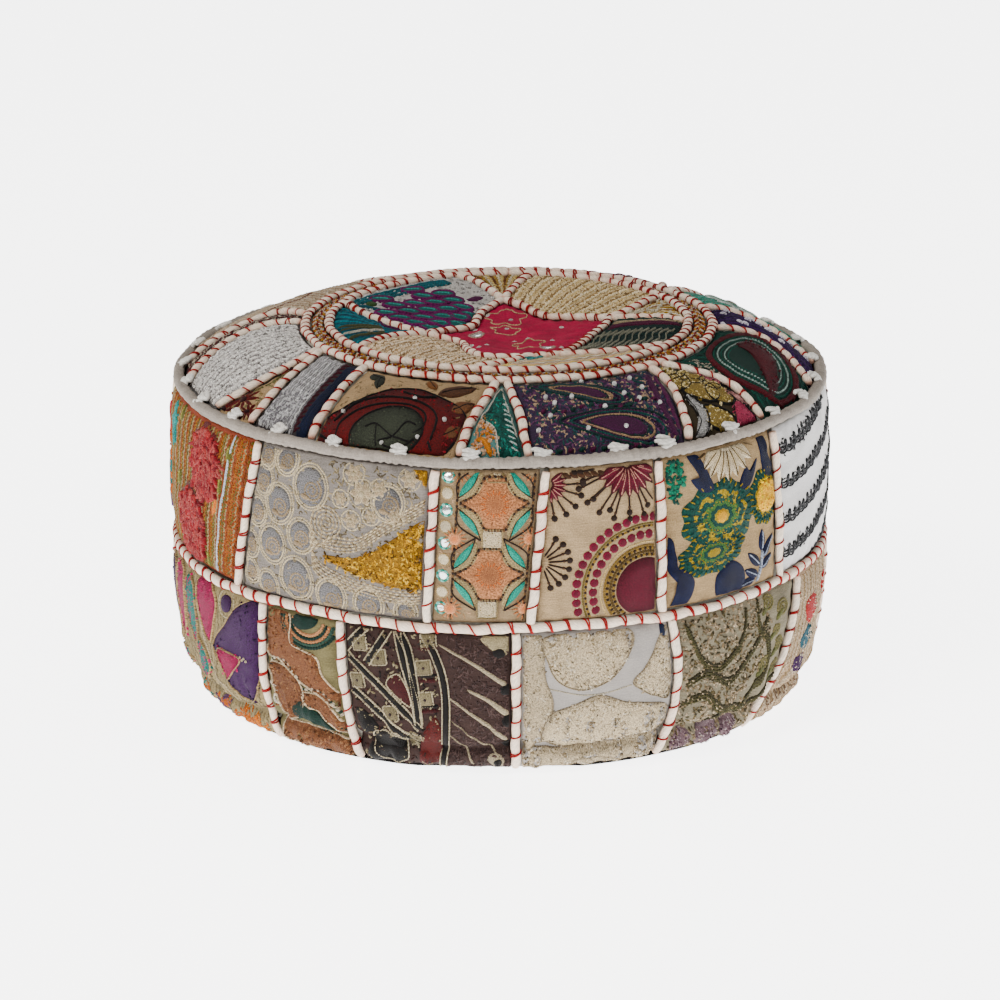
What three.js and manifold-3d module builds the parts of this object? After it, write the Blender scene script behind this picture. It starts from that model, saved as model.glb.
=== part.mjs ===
// Round patchwork floor pouf, in millimetres, +Z up, with its front towards -Y.
// The origin is the bottom centre, where the pouf rests on the floor.
// Angles run round the pouf in degrees from the front, positive towards +X.
// The cover is one cloth patch per node, between cotton seam cords. Inside it lies a
// lined wadding cushion, and a straight zip crosses the base behind its centre.

import * as THREE from 'three';
import { mergeVertices } from 'three/addons/utils/BufferGeometryUtils.js';
import Module from 'manifold-3d';

const wasm = await Module();
wasm.setup();

// Driving dimensions
const CLOTH = 2;                 // a patch with its embroidery and backing
const CORD_RADIUS = 4.2;         // seam cord, whip-stitched over every seam
const CORD_GAP = 1;              // clearance from a seam cord to the patches beside it
const PIPING_RADIUS = 6.5;
const PIPING_SEAT_RADIUS = 298;  // centre line of the piping round the seat edge
const PIPING_HEIGHT = 296;
const MID_SEAM_HEIGHT = 145;     // between the two rows of side patches
const RING_OUTER = 187;          // centre lines of the two cords beside the ring band
const RING_INNER = 165;
const RING_SHIFT = 8;            // the ring is sewn this far towards +X of the centre
const SEAT_EDGE = 289;           // where the top patches meet the piping
const BASE_RADIUS = 262;
const BASE_CLOTH = 2.4;
const ZIP_Y = 110;
const ZIP_LENGTH = 400;
const ZIP_SLOT = 14;             // between the two base panels
const ZIP_TRAVEL_END = 12;       // the slider stays this far inside each end of the chain
const LINER_CLOTH = 1.2;
const LINER_CLEARANCE = 5;       // from the cover's outer face to the liner
const FACET_ANGLE = 7.5;         // widest facet round the pouf, in degrees
const RING_FACETS = 48;
const CORD_SIDES = 5;

// Outer faces: height over radius for the seat, and radius over height for the side.
const SEAT_PROFILE = [
  [0, 329], [50, 333], [100, 340], [150, 345], [187, 342], [235, 328], [275, 309], [296, 297],
];
const SIDE_PROFILE = [
  [0, 266], [14, 276], [27, 281], [60, 293], [110, 300], [145, 300], [200, 302], [260, 301],
  [296, 298],
];

// Seams of the seat from the ring to the piping: [angle at ring, angle at piping, bow].
const outerSeams = {
  wedge0: [-100, -92, -13], s1: [-92, -80, -11], a: [-64, -62.5, 2], b: [-63, -50.5, 1],
  c: [-43, -35.5, 0], d: [-3, -7.2, -1], e: [-1, 5.2, 1], f: [42, 35.5, 1.5],
  g: [45, 54.5, 6], h: [86, 78, 9], v: [107, 92, 10], mint: [129, 134, 0],
  m2: [131, 147, 2], plum: [173, 168, 0], pink: [214, 216, 0],
};

// The seat's outer patches, each between two of those seams.
const outerPatches = {
  seat_wedge_maroon_zigzag: ['wedge0', 's1', 0x4a2a30],
  seat_petal_silver_moss: ['s1', 'a', 0xb4b1ac],
  seat_wedge_tan_floral: ['a', 'b', 0xb19674],
  seat_petal_grey_couched: ['b', 'c', 0x9c9a95],
  seat_petal_rose: ['c', 'd', 0x6d2a2c],
  seat_wedge_teal_feather: ['d', 'e', 0x5d8a86],
  seat_petal_purple_paisley: ['e', 'f', 0x3f2a40],
  seat_wedge_gold_scales: ['f', 'g', 0x857048],
  seat_petal_emerald_teardrop: ['g', 'h', 0x16594e],
  seat_wedge_violet: ['h', 'v', 0x3d2357],
  seat_petal_mint: ['v', 'mint', 0x4fb49a],
  seat_wedge_rust: ['mint', 'm2', 0x8c4a35],
  seat_petal_plum: ['m2', 'plum', 0x5b2747],
  seat_petal_pink: ['plum', 'pink', 0xb98a88],
  seat_petal_beige_sequin: ['pink', 'wedge0', 0xc4ac93],
};

// Centre star: radius of its tips and how far each side between two tips is hollowed.
const starTips = [[-177, 93], [-78, 76], [-14, 108], [23, 110], [106, 96], [183, 93]];
const starHollows = [42, 34, 0, 24, 32];

// Seams from the star to the ring: [angle at the star, angle at the ring].
const innerSeams = {
  tealLow: [-77, -56], sandCream: [8, -11], creamDark: [24, 60], goldLow: [105, 89],
  goldHigh: [107, 121], khaki: [182, 172], peacock: [184, 197], tealHigh: [281, 249],
};
const innerPatches = {
  centre_petal_sand: ['tealLow', 'sandCream', 0xbda280],
  centre_petal_cream: ['sandCream', 'creamDark', 0xd8c8aa],
  centre_petal_dark_teal: ['creamDark', 'goldLow', 0x254544],
  centre_wedge_gold: ['goldLow', 'goldHigh', 0xb08d52],
  centre_petal_khaki: ['goldHigh', 'khaki', 0xa88f68],
  centre_wedge_gold_back: ['khaki', 'peacock', 0xa8884e],
  centre_petal_peacock: ['peacock', 'tealHigh', 0x2f5560],
  centre_wedge_teal: ['tealHigh', 'tealLow', 0x2b6f74],
};

// Side seams: [angle at the row's top, angle at its bottom, bow].
const upperSeams = {
  shaggy: [-92, -96, 0], ab: [-46, -52, 0], bc: [-11, -12.5, 0], cd: [7.7, 5.2, 0],
  de: [28, 28.7, 0], ef: [55, 57.3, 0], satin: [94, 93, 0], back1: [137, 137, 0],
  back2: [180, 182, 0], back3: [226, 224, 0],
};
const upperPatches = {
  upper_patch_coral_shaggy: ['shaggy', 'ab', 0xb0533f],
  upper_patch_cream_paisley: ['ab', 'bc', 0xcdbfa6],
  upper_patch_peach_tiles: ['bc', 'cd', 0xb9977a],
  upper_patch_crimson_sun: ['cd', 'de', 0xa98c6c],
  upper_patch_green_peony: ['de', 'ef', 0xa98f66],
  upper_patch_silver_satin: ['ef', 'satin', 0xc2c0bd],
  upper_patch_rust_scrolls: ['satin', 'back1', 0x8e4d37],
  upper_patch_ivory_lattice: ['back1', 'back2', 0xcfc3ad],
  upper_patch_navy_blossom: ['back2', 'back3', 0x29385a],
  upper_patch_olive_vine: ['back3', 'shaggy', 0x6c6a3f],
};
const lowerSeams = {
  magenta: [-91, -90, 0], gh: [-45.1, -47.1, 0], hi: [-28.4, -27.5, 0], ij: [2.7, 2.9, 0],
  jk: [30.7, 31.2, 1.5], kl: [64.3, 54, 2], lm: [88, 84, 0], back1: [126, 126, 0],
  back2: [168, 170, 0], back3: [214, 213, 0],
};
const lowerPatches = {
  lower_patch_magenta_felt: ['magenta', 'gh', 0x8a3a63],
  lower_patch_salmon_flowers: ['gh', 'hi', 0xb08a66],
  lower_patch_black_maroon: ['hi', 'ij', 0x3b2b2a],
  lower_patch_ivory_lace: ['ij', 'jk', 0xcbc2b2],
  lower_patch_khaki_scrolls: ['jk', 'kl', 0x8f8468],
  lower_patch_beige_mix: ['kl', 'lm', 0xb59a80],
  lower_patch_pink_tufts: ['lm', 'back1', 0xc09090],
  lower_patch_teal_paisley: ['back1', 'back2', 0x2e6b68],
  lower_patch_crimson_floral: ['back2', 'back3', 0x8c2b38],
  lower_patch_mustard_waves: ['back3', 'magenta', 0xb08a3e],
};

const NARROWEST_PATCH = 1;       // a wedge starts where it is this many degrees wide
const OUTER_ROWS = 6;            // facets along each kind of seam
const INNER_ROWS = 4;
const STAR_STEPS = 6;
const SIDE_ROWS = 4;

const pouf = new THREE.Group();

const lerp = THREE.MathUtils.lerp;
const radians = THREE.MathUtils.degToRad;

// Smooth curve through the points of a profile, as a cubic between each pair.
function follow(points, x) {
  const last = points.length - 1;
  const slopeAt = (i) => {
    const [before, after] = [points[Math.max(i - 1, 0)], points[Math.min(i + 1, last)]];
    return (after[1] - before[1]) / (after[0] - before[0]);
  };
  let i = 0;
  while (i < last - 1 && x > points[i + 1][0]) i += 1;
  const step = points[i + 1][0] - points[i][0];
  const t = (x - points[i][0]) / step;
  const blend = t * t * (3 - 2 * t);
  const rise = t * (1 - t) * step * (slopeAt(i) * (1 - t) - slopeAt(i + 1) * t);
  return lerp(points[i][1], points[i + 1][1], blend) + rise;
}

function onSeat(angle, radius, lift = 0) {
  const turn = radians(angle);
  const shift = RING_SHIFT * (1 - THREE.MathUtils.smoothstep(radius, RING_OUTER, SEAT_EDGE));
  const slope = follow(SEAT_PROFILE, radius + 1) - follow(SEAT_PROFILE, radius);
  const normal = new THREE.Vector3(-slope * Math.sin(turn), slope * Math.cos(turn), 1).normalize();
  return new THREE.Vector3(
    radius * Math.sin(turn) + shift, -radius * Math.cos(turn), follow(SEAT_PROFILE, radius),
  ).addScaledVector(normal, lift);
}

function onSide(angle, height, lift = 0) {
  const turn = radians(angle);
  const slope = follow(SIDE_PROFILE, height + 1) - follow(SIDE_PROFILE, height);
  const radius = follow(SIDE_PROFILE, height);
  const normal = new THREE.Vector3(Math.sin(turn), -Math.cos(turn), -slope).normalize();
  return new THREE.Vector3(radius * Math.sin(turn), -radius * Math.cos(turn), height)
    .addScaledVector(normal, lift);
}

function addPart(name, geometry, color, roughness = 0.9, metalness = 0) {
  const material = new THREE.MeshStandardMaterial({ color, roughness, metalness });
  const mesh = new THREE.Mesh(geometry, material);
  mesh.name = name;
  pouf.add(mesh);
  return mesh;
}

function geometryFrom(points, triangles) {
  const geometry = new THREE.BufferGeometry().setFromPoints(points);
  geometry.setIndex(triangles.flat());
  return geometry;
}

function toManifold(source) {
  const geometry = source.clone();
  geometry.deleteAttribute('normal');
  geometry.deleteAttribute('uv');
  const merged = mergeVertices(geometry, 1e-3);
  return new wasm.Manifold(new wasm.Mesh({
    numProp: 3,
    vertProperties: new Float32Array(merged.attributes.position.array),
    triVerts: new Uint32Array(merged.index.array),
  }));
}

function fromManifold(solid) {
  const { vertProperties, triVerts } = solid.getMesh();
  const geometry = new THREE.BufferGeometry();
  geometry.setAttribute('position', new THREE.BufferAttribute(vertProperties, 3));
  geometry.setIndex(new THREE.BufferAttribute(triVerts, 1));
  return geometry;
}

function joined(geometries) {
  return fromManifold(geometries.map(toManifold).reduce((whole, piece) => whole.add(piece)));
}

// The main piece left when the cutters are taken away, without its offcuts.
function carved(geometry, cutters) {
  const left = cutters.map(toManifold)
    .reduce((whole, cutter) => whole.subtract(cutter), toManifold(geometry));
  return fromManifold(left.decompose().reduce((a, b) => (a.volume() > b.volume() ? a : b)));
}

// A closed cloth shell. grid[row][column] holds pairs of outer and inner points, with
// columns to the right and rows downwards as seen from outside.
function shell(grid) {
  const rows = grid.length;
  const columns = grid[0].length;
  const outer = grid.flat().map((pair) => pair[0]);
  const inner = grid.flat().map((pair) => pair[1]);
  const at = (row, column) => row * columns + column;
  const below = (index) => index + rows * columns;
  const triangles = [];
  for (let row = 0; row < rows - 1; row += 1) {
    for (let column = 0; column < columns - 1; column += 1) {
      const [p, q] = [at(row, column), at(row, column + 1)];
      const [s, t] = [at(row + 1, column), at(row + 1, column + 1)];
      triangles.push([p, s, t], [p, t, q]);
      triangles.push([below(p), below(t), below(s)], [below(p), below(q), below(t)]);
    }
  }
  const rim = [];
  for (let row = 0; row < rows - 1; row += 1) rim.push(at(row, 0));
  for (let column = 0; column < columns - 1; column += 1) rim.push(at(rows - 1, column));
  for (let row = rows - 1; row > 0; row -= 1) rim.push(at(row, columns - 1));
  for (let column = columns - 1; column > 0; column -= 1) rim.push(at(0, column));
  rim.forEach((here, index) => {
    const next = rim[(index + 1) % rim.length];
    triangles.push([here, below(here), below(next)], [here, below(next), next]);
  });
  return geometryFrom([...outer, ...inner], triangles);
}

// A cloth patch between two seams. surface(angle, place, lift) gives a point, left(t) and
// right(t) give [angle, place] down each seam, for t in levels, and clearance(seam, t)
// gives the angle that the seam's cord takes from the patch.
function patch(surface, left, right, levels, clearance) {
  const widest = Math.max(...levels.map((t) => right(t)[0] - left(t)[0]));
  const columns = Math.max(2, Math.ceil(widest / FACET_ANGLE));
  return shell(levels.map((t) => {
    const [[fromAngle, fromPlace], [toAngle, toPlace]] = [left(t), right(t)];
    return Array.from({ length: columns + 1 }, (_, column) => {
      const share = column / columns;
      const inset = lerp(clearance(left, t), -clearance(right, t), share);
      const angle = lerp(fromAngle, toAngle, share) + inset;
      const place = lerp(fromPlace, toPlace, share);
      return [surface(angle, place), surface(angle, place, -CLOTH)];
    });
  }));
}

// A solid cord through the given points, a regular polygon in section, with flat ends.
function cord(points, radius = CORD_RADIUS, sides = CORD_SIDES, twist = 0) {
  const up = new THREE.Vector3(0, 0, 1);
  const vertices = [];
  points.forEach((point, index) => {
    const before = points[Math.max(index - 1, 0)];
    const after = points[Math.min(index + 1, points.length - 1)];
    const along = after.clone().sub(before).normalize();
    const across = along.clone().cross(Math.abs(along.z) > 0.8 ? point : up).normalize();
    const out = along.clone().cross(across);
    for (let side = 0; side < sides; side += 1) {
      const turn = (2 * Math.PI * side) / sides + twist;
      vertices.push(point.clone()
        .addScaledVector(across, radius * Math.cos(turn))
        .addScaledVector(out, radius * Math.sin(turn)));
    }
  });
  const triangles = [];
  const last = (points.length - 1) * sides;
  for (let base = 0; base < last; base += sides) {
    for (let side = 0; side < sides; side += 1) {
      const next = (side + 1) % sides;
      const [p, q] = [base + side, base + next];
      triangles.push([p, q, q + sides], [p, q + sides, p + sides]);
    }
  }
  for (let side = 1; side < sides - 1; side += 1) {
    triangles.push([0, side + 1, side], [last, last + side, last + side + 1]);
  }
  return geometryFrom(vertices, triangles);
}

// A square-sided cutter that clears a cord laid through the same points.
const channel = (points) => (
  cord(points, (CORD_RADIUS + CORD_GAP) * Math.SQRT2, 4, Math.PI / 4)
);

// A solid of revolution about Z from [radius, height] points, closed on itself or the axis.
function turned(profile, segments) {
  return new THREE.LatheGeometry(profile.map(([r, z]) => new THREE.Vector2(r, z)), segments)
    .rotateX(Math.PI / 2);
}

// A closed ring of round section about Z.
function hoop(radius, height, thickness, segments, sides) {
  const profile = Array.from({ length: sides + 1 }, (_, side) => {
    const turn = (2 * Math.PI * (side % sides)) / sides;
    return [radius + thickness * Math.cos(turn), height + thickness * Math.sin(turn)];
  });
  return turned(profile, segments);
}

const cordClearance = (radius) => THREE.MathUtils.radToDeg((CORD_RADIUS + CORD_GAP) / radius);

// The angle a slanting cord takes: seam(t) gives [angle, place] and length is how far the
// whole seam runs down the cover.
function slantedClearance(seam, t, radius, length) {
  const slant = (radians(seam(t + 0.01)[0] - seam(t - 0.01)[0]) * radius) / (0.02 * length);
  return cordClearance(radius) * Math.hypot(1, slant);
}

const steps = (from, to, count) => (
  Array.from({ length: count + 1 }, (_, index) => lerp(from, to, index / count))
);

function seamAngle([from, to, bow = 0], t) {
  return lerp(from, to, t) + bow * Math.sin(Math.PI * t);
}

// Seat: outer petals and wedges, between the ring and the piping.
const OUTER_LENGTH = SEAT_EDGE - RING_OUTER;
const seatRadiusAt = (t) => lerp(RING_OUTER, SEAT_EDGE, t);
const outerLevels = steps(0, 1, OUTER_ROWS);

for (const [name, [leftName, rightName, color]] of Object.entries(outerPatches)) {
  const [left, right] = [outerSeams[leftName], outerSeams[rightName]];
  const turns = right[0] < left[0] ? 360 : 0;
  const leftAt = (t) => [seamAngle(left, t), seatRadiusAt(t)];
  const rightAt = (t) => [seamAngle(right, t) + turns, seatRadiusAt(t)];
  const clearance = (seam, t) => slantedClearance(seam, t, seatRadiusAt(t), OUTER_LENGTH);
  const width = (t) => rightAt(t)[0] - leftAt(t)[0] - clearance(leftAt, t) - clearance(rightAt, t);
  const ringSide = (CORD_RADIUS + CORD_GAP) / OUTER_LENGTH;
  const first = steps(ringSide, 0.9, 40).find((t) => width(t) > NARROWEST_PATCH);
  const levels = [first, ...outerLevels.filter((t) => t > first + 0.03)];
  addPart(name, patch(onSeat, leftAt, rightAt, levels, clearance), color);
}

// Seat: centre star.
function starRadius(angle) {
  const folded = THREE.MathUtils.euclideanModulo(angle + 177, 360) - 177;
  let i = 0;
  while (folded > starTips[i + 1][0]) i += 1;
  const t = (folded - starTips[i][0]) / (starTips[i + 1][0] - starTips[i][0]);
  return lerp(starTips[i][1], starTips[i + 1][1], t) - starHollows[i] * Math.sin(Math.PI * t);
}

const starSides = starTips.slice(0, -1).map(([tip], index) => (
  steps(tip, starTips[index + 1][0], STAR_STEPS).map((angle) => onSeat(angle, starRadius(angle)))
));

function starSolid() {
  const angles = starTips.slice(0, -1).flatMap(([tip], index) => (
    steps(tip, starTips[index + 1][0], STAR_STEPS).slice(0, -1)
  ));
  const spokes = angles.length;
  const rims = [0.55, 1].map((share) => angles.map((angle) => [angle, share * starRadius(angle)]));
  const outer = [onSeat(0, 0), ...rims.flat().map(([angle, radius]) => onSeat(angle, radius))];
  const inner = outer.map((point) => point.clone().setZ(point.z - CLOTH));
  const triangles = [];
  const under = (index) => index + outer.length;
  for (let i = 0; i < spokes; i += 1) {
    const next = (i + 1) % spokes;
    const [a, b, c, d] = [1 + i, 1 + next, 1 + spokes + i, 1 + spokes + next];
    triangles.push([0, a, b], [a, c, d], [a, d, b]);
    triangles.push([under(0), under(b), under(a)]);
    triangles.push([under(a), under(d), under(c)], [under(a), under(b), under(d)]);
    triangles.push([c, under(c), under(d)], [c, under(d), d]);
  }
  return carved(geometryFrom([...outer, ...inner], triangles), starSides.map(channel));
}
addPart('centre_star_crimson', starSolid(), 0x8f1a30);

// Seat: inner petals and wedges, between the star and the ring.
function innerSeamPoint([starAngle, ringAngle], t) {
  return [lerp(starAngle, ringAngle, t), lerp(starRadius(starAngle), RING_INNER, t)];
}

function innerPatch(leftSeam, rightSeam) {
  const turns = rightSeam[0] < leftSeam[0] ? 360 : 0;
  const columns = Math.max(2, Math.ceil((rightSeam[1] + turns - leftSeam[1]) / FACET_ANGLE));
  const whole = shell(steps(0, 1, INNER_ROWS).map((t) => steps(0, 1, columns).map((share) => {
    const starAngle = lerp(leftSeam[0], rightSeam[0] + turns, share);
    const ringAngle = lerp(leftSeam[1], rightSeam[1] + turns, share);
    const angle = lerp(starAngle, ringAngle, t);
    const radius = lerp(starRadius(starAngle), RING_INNER - CORD_RADIUS - CORD_GAP, t);
    return [onSeat(angle, radius), onSeat(angle, radius, -CLOTH)];
  })));
  return carved(whole, [...starSides.map(channel), ...innerSeamLines.map(channel)]);
}

const innerSeamLines = Object.values(innerSeams).map((seam) => (
  steps(0, 1, INNER_ROWS).map((t) => onSeat(...innerSeamPoint(seam, t)))
));
for (const [name, [left, right, color]] of Object.entries(innerPatches)) {
  addPart(name, innerPatch(innerSeams[left], innerSeams[right]), color);
}

// Seat: narrow band between the two ring cords.
const bandEdges = [RING_INNER + CORD_RADIUS + CORD_GAP, RING_OUTER - CORD_RADIUS - CORD_GAP];
const bandProfile = [
  [bandEdges[0], 0], [bandEdges[0], -CLOTH], [bandEdges[1], -CLOTH], [bandEdges[1], 0],
  [bandEdges[0], 0],
].map(([r, drop]) => [r, follow(SEAT_PROFILE, r) + drop]);
addPart('ring_band_braid', turned(bandProfile, RING_FACETS).translate(RING_SHIFT, 0, 0), 0x4b3b28);

// Side: two rows of patches. A row's seams run from its top height to its bottom height,
// and its patches keep clear of what borders the row there.
const upperRow = { seams: upperSeams, top: PIPING_HEIGHT, bottom: MID_SEAM_HEIGHT };
const lowerRow = { seams: lowerSeams, top: MID_SEAM_HEIGHT, bottom: 0 };

function addSideRow({ seams, top, bottom }, patches, topGap, bottomGap) {
  const height = (t) => lerp(top, bottom, t);
  const length = top - bottom;
  const levels = [topGap / length, ...steps(0, 1, SIDE_ROWS).slice(1, -1), 1 - bottomGap / length];
  for (const [name, [left, right, color]] of Object.entries(patches)) {
    const turns = seams[right][0] < seams[left][0] ? 360 : 0;
    const leftAt = (t) => [seamAngle(seams[left], t), height(t)];
    const rightAt = (t) => [seamAngle(seams[right], t) + turns, height(t)];
    const clearance = (seam, t) => (
      slantedClearance(seam, t, follow(SIDE_PROFILE, height(t)), length)
    );
    addPart(name, patch(onSide, leftAt, rightAt, levels, clearance), color);
  }
}
const PIPING_GAP = PIPING_RADIUS + 1;
const FLOOR_GAP = 0.6;
addSideRow(upperRow, upperPatches, PIPING_GAP, CORD_RADIUS + CORD_GAP);
addSideRow(lowerRow, lowerPatches, CORD_RADIUS + CORD_GAP, FLOOR_GAP);

// Seam cords: three sewn nets, and the piping round the seat edge.
const CORD_COLOR = 0xe6ddd0;
const outerNet = Object.values(outerSeams).map((seam) => cord(
  outerLevels.map((t) => onSeat(seamAngle(seam, t), seatRadiusAt(t))),
));
const outerRing = hoop(RING_OUTER, follow(SEAT_PROFILE, RING_OUTER), CORD_RADIUS, RING_FACETS, CORD_SIDES);
addPart('seat_outer_seam_cords', joined([outerRing.translate(RING_SHIFT, 0, 0), ...outerNet]), CORD_COLOR);

const innerRing = hoop(RING_INNER, follow(SEAT_PROFILE, RING_INNER), CORD_RADIUS, RING_FACETS, CORD_SIDES);
addPart('seat_centre_seam_cords', joined([
  innerRing.translate(RING_SHIFT, 0, 0),
  ...innerSeamLines.map((line) => cord(line)),
  ...starSides.map((side) => cord(side)),
]), CORD_COLOR);

function uprights({ seams, top, bottom }, topGap, bottomGap) {
  const length = top - bottom;
  const levels = [topGap / length, ...steps(0, 1, SIDE_ROWS).slice(1, -1), 1 - bottomGap / length];
  return Object.values(seams).map((seam) => cord(
    levels.map((t) => onSide(seamAngle(seam, t), lerp(top, bottom, t))),
  ));
}
const midSeam = hoop(follow(SIDE_PROFILE, MID_SEAM_HEIGHT), MID_SEAM_HEIGHT, CORD_RADIUS, RING_FACETS, CORD_SIDES);
addPart('side_seam_cords', joined([
  midSeam,
  ...uprights(upperRow, PIPING_GAP, 0),
  ...uprights(lowerRow, 0, CORD_RADIUS + CORD_GAP),
]), CORD_COLOR);

addPart('seat_edge_piping', hoop(PIPING_SEAT_RADIUS, PIPING_HEIGHT, PIPING_RADIUS, RING_FACETS, 6), 0xc8c0b8);

// Base: two canvas panels with turned-up hems beside the zip slot.
const HEM_WIDTH = 3;
const HEM_HEIGHT = 7.7;

function basePanel(side, spanAngle) {
  const edge = side * (ZIP_Y * side + ZIP_SLOT / 2);
  const halfChord = Math.sqrt(BASE_RADIUS ** 2 - edge ** 2);
  const start = Math.atan2(edge, side * halfChord);
  const count = Math.ceil(spanAngle / 6);
  const outline = steps(start, start + radians(spanAngle), count)
    .map((turn) => new THREE.Vector2(BASE_RADIUS * Math.cos(turn), BASE_RADIUS * Math.sin(turn)));
  const cloth = new THREE.ExtrudeGeometry(new THREE.Shape(outline), { depth: BASE_CLOTH, bevelEnabled: false });
  const hem = new THREE.BoxGeometry(2 * halfChord - 12, HEM_WIDTH, HEM_HEIGHT)
    .translate(0, edge + (side * HEM_WIDTH) / 2, HEM_HEIGHT / 2);
  return joined([cloth, hem]);
}
const flapSpan = 2 * THREE.MathUtils.radToDeg(Math.acos((ZIP_Y + ZIP_SLOT / 2) / BASE_RADIUS));
const mainSpan = 360 - 2 * THREE.MathUtils.radToDeg(Math.acos((ZIP_Y - ZIP_SLOT / 2) / BASE_RADIUS));
addPart('base_panel_flap', basePanel(1, flapSpan), 0x2f2b29);
addPart('base_panel_main', basePanel(-1, mainSpan), 0x2f2b29);

// Zip: two tapes above the hems, the closed chain between them, and the slider below it.
const TAPE_BOTTOM = 8;
const TAPE_THICKNESS = 0.8;
const TAPE_WIDTH = 13;
const CHAIN_HALF_WIDTH = 2.9;
const CHAIN_BOTTOM = 7.3;
const CHAIN_THICKNESS = 2.2;
for (const [name, side] of [['zip_tape_front', -1], ['zip_tape_back', 1]]) {
  const tape = new THREE.BoxGeometry(ZIP_LENGTH + 20, TAPE_WIDTH, TAPE_THICKNESS);
  const centre = ZIP_Y + side * (CHAIN_HALF_WIDTH + 0.3 + TAPE_WIDTH / 2);
  addPart(name, tape.translate(0, centre, TAPE_BOTTOM + TAPE_THICKNESS / 2), 0x2b2724);
}

function zipChain() {
  const teeth = 25;
  const pitch = ZIP_LENGTH / teeth;
  const gapDepth = 1;
  const edge = [];
  for (let tooth = 0; tooth < teeth; tooth += 1) {
    const x = -ZIP_LENGTH / 2 + tooth * pitch;
    edge.push([x, CHAIN_HALF_WIDTH], [x + pitch * 0.6, CHAIN_HALF_WIDTH]);
    edge.push([x + pitch * 0.6, CHAIN_HALF_WIDTH - gapDepth], [x + pitch, CHAIN_HALF_WIDTH - gapDepth]);
  }
  const outline = [...edge, ...edge.map(([x, y]) => [x, -y]).reverse()];
  const shape = new THREE.Shape(outline.map(([x, y]) => new THREE.Vector2(x, y)));
  return new THREE.ExtrudeGeometry(shape, { depth: CHAIN_THICKNESS, bevelEnabled: false })
    .translate(0, ZIP_Y, CHAIN_BOTTOM);
}
addPart('zip_chain', zipChain(), 0x8c7a52, 0.35, 0.9);

// The slider is a channel that the chain runs through, with lugs and a pin for its pull.
const SLIDER_LENGTH = 12;
const SLIDER_X = -ZIP_LENGTH / 2 + ZIP_TRAVEL_END + SLIDER_LENGTH / 2;
const SLIDER_HALF_WIDTH = 4.8;
const SLIDER_WALL = 1.5;
const SLIDER_BOTTOM = 5.2;
const SLIDER_TOP = 7.7;
const SLIDER_PLATE = 1.7;
const PULL_AXIS_Z = 3.3;
const PIN_RADIUS = 0.5;
const LUG_THICKNESS = 1;
const PULL_WIDTH = 3.6;
const PULL_SIDE_GAP = 0.4;

function sliderBody() {
  const inner = SLIDER_HALF_WIDTH - SLIDER_WALL;
  const outline = [
    [-SLIDER_HALF_WIDTH, SLIDER_BOTTOM], [SLIDER_HALF_WIDTH, SLIDER_BOTTOM],
    [SLIDER_HALF_WIDTH, SLIDER_TOP], [inner, SLIDER_TOP],
    [inner, SLIDER_BOTTOM + SLIDER_PLATE], [-inner, SLIDER_BOTTOM + SLIDER_PLATE],
    [-inner, SLIDER_TOP], [-SLIDER_HALF_WIDTH, SLIDER_TOP],
  ];
  const shape = new THREE.Shape(outline.map(([y, z]) => new THREE.Vector2(y, z)));
  const channel = new THREE.ExtrudeGeometry(shape, { depth: SLIDER_LENGTH, bevelEnabled: false })
    .translate(0, 0, -SLIDER_LENGTH / 2)
    .rotateX(Math.PI / 2)
    .rotateZ(Math.PI / 2);
  const lugHeight = SLIDER_BOTTOM - (PULL_AXIS_Z - 1.1) + 0.3;
  const lugY = PULL_WIDTH / 2 + PULL_SIDE_GAP + LUG_THICKNESS / 2;
  const lugs = [-1, 1].map((side) => (
    new THREE.BoxGeometry(2.6, LUG_THICKNESS, lugHeight)
      .translate(0, side * lugY, PULL_AXIS_Z - 1.1 + lugHeight / 2)
  ));
  const pin = new THREE.CylinderGeometry(PIN_RADIUS, PIN_RADIUS, 2 * lugY, 10)
    .translate(0, 0, PULL_AXIS_Z);
  return joined([channel, ...lugs, pin]).translate(SLIDER_X, ZIP_Y, 0);
}
addPart('zip_slider', sliderBody(), 0x9a875c, 0.35, 0.9);

function sliderPull() {
  const length = 24;
  const halfThickness = 0.6;
  const eyeOuter = 1.3;
  const eyeInner = 0.75;
  const mouth = Math.asin(halfThickness / eyeOuter);
  const shape = new THREE.Shape();
  shape.moveTo(length, -halfThickness);
  shape.lineTo(length, halfThickness);
  shape.lineTo(eyeOuter * Math.cos(mouth), halfThickness);
  shape.absarc(0, 0, eyeOuter, mouth, 2 * Math.PI - mouth, false);
  const hole = new THREE.Path();
  hole.absarc(0, 0, eyeInner, 0, 2 * Math.PI, true);
  shape.holes.push(hole);
  return new THREE.ExtrudeGeometry(shape, { depth: PULL_WIDTH, bevelEnabled: false, curveSegments: 8 })
    .translate(0, 0, -PULL_WIDTH / 2)
    .rotateX(Math.PI / 2)
    .translate(SLIDER_X, ZIP_Y, PULL_AXIS_Z);
}
addPart('zip_pull', sliderPull(), 0x9a875c, 0.35, 0.9);

// Inside: a cotton liner in two pieces round the wadding.
const LINER_BOTTOM = 11;
const LINER_SPLIT = 285;
const CORE_GAP = 1;
const LINER_FACETS = 36;
const lowHeights = [LINER_BOTTOM, 60, 150, LINER_SPLIT];
const linerRadius = (height) => follow(SIDE_PROFILE, height) - LINER_CLEARANCE - 4;
const seatStations = [0, 100, 150, 190, 235, 270];
const underSeat = (radius, depth) => follow(SEAT_PROFILE, radius) - LINER_CLEARANCE - depth;

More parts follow.
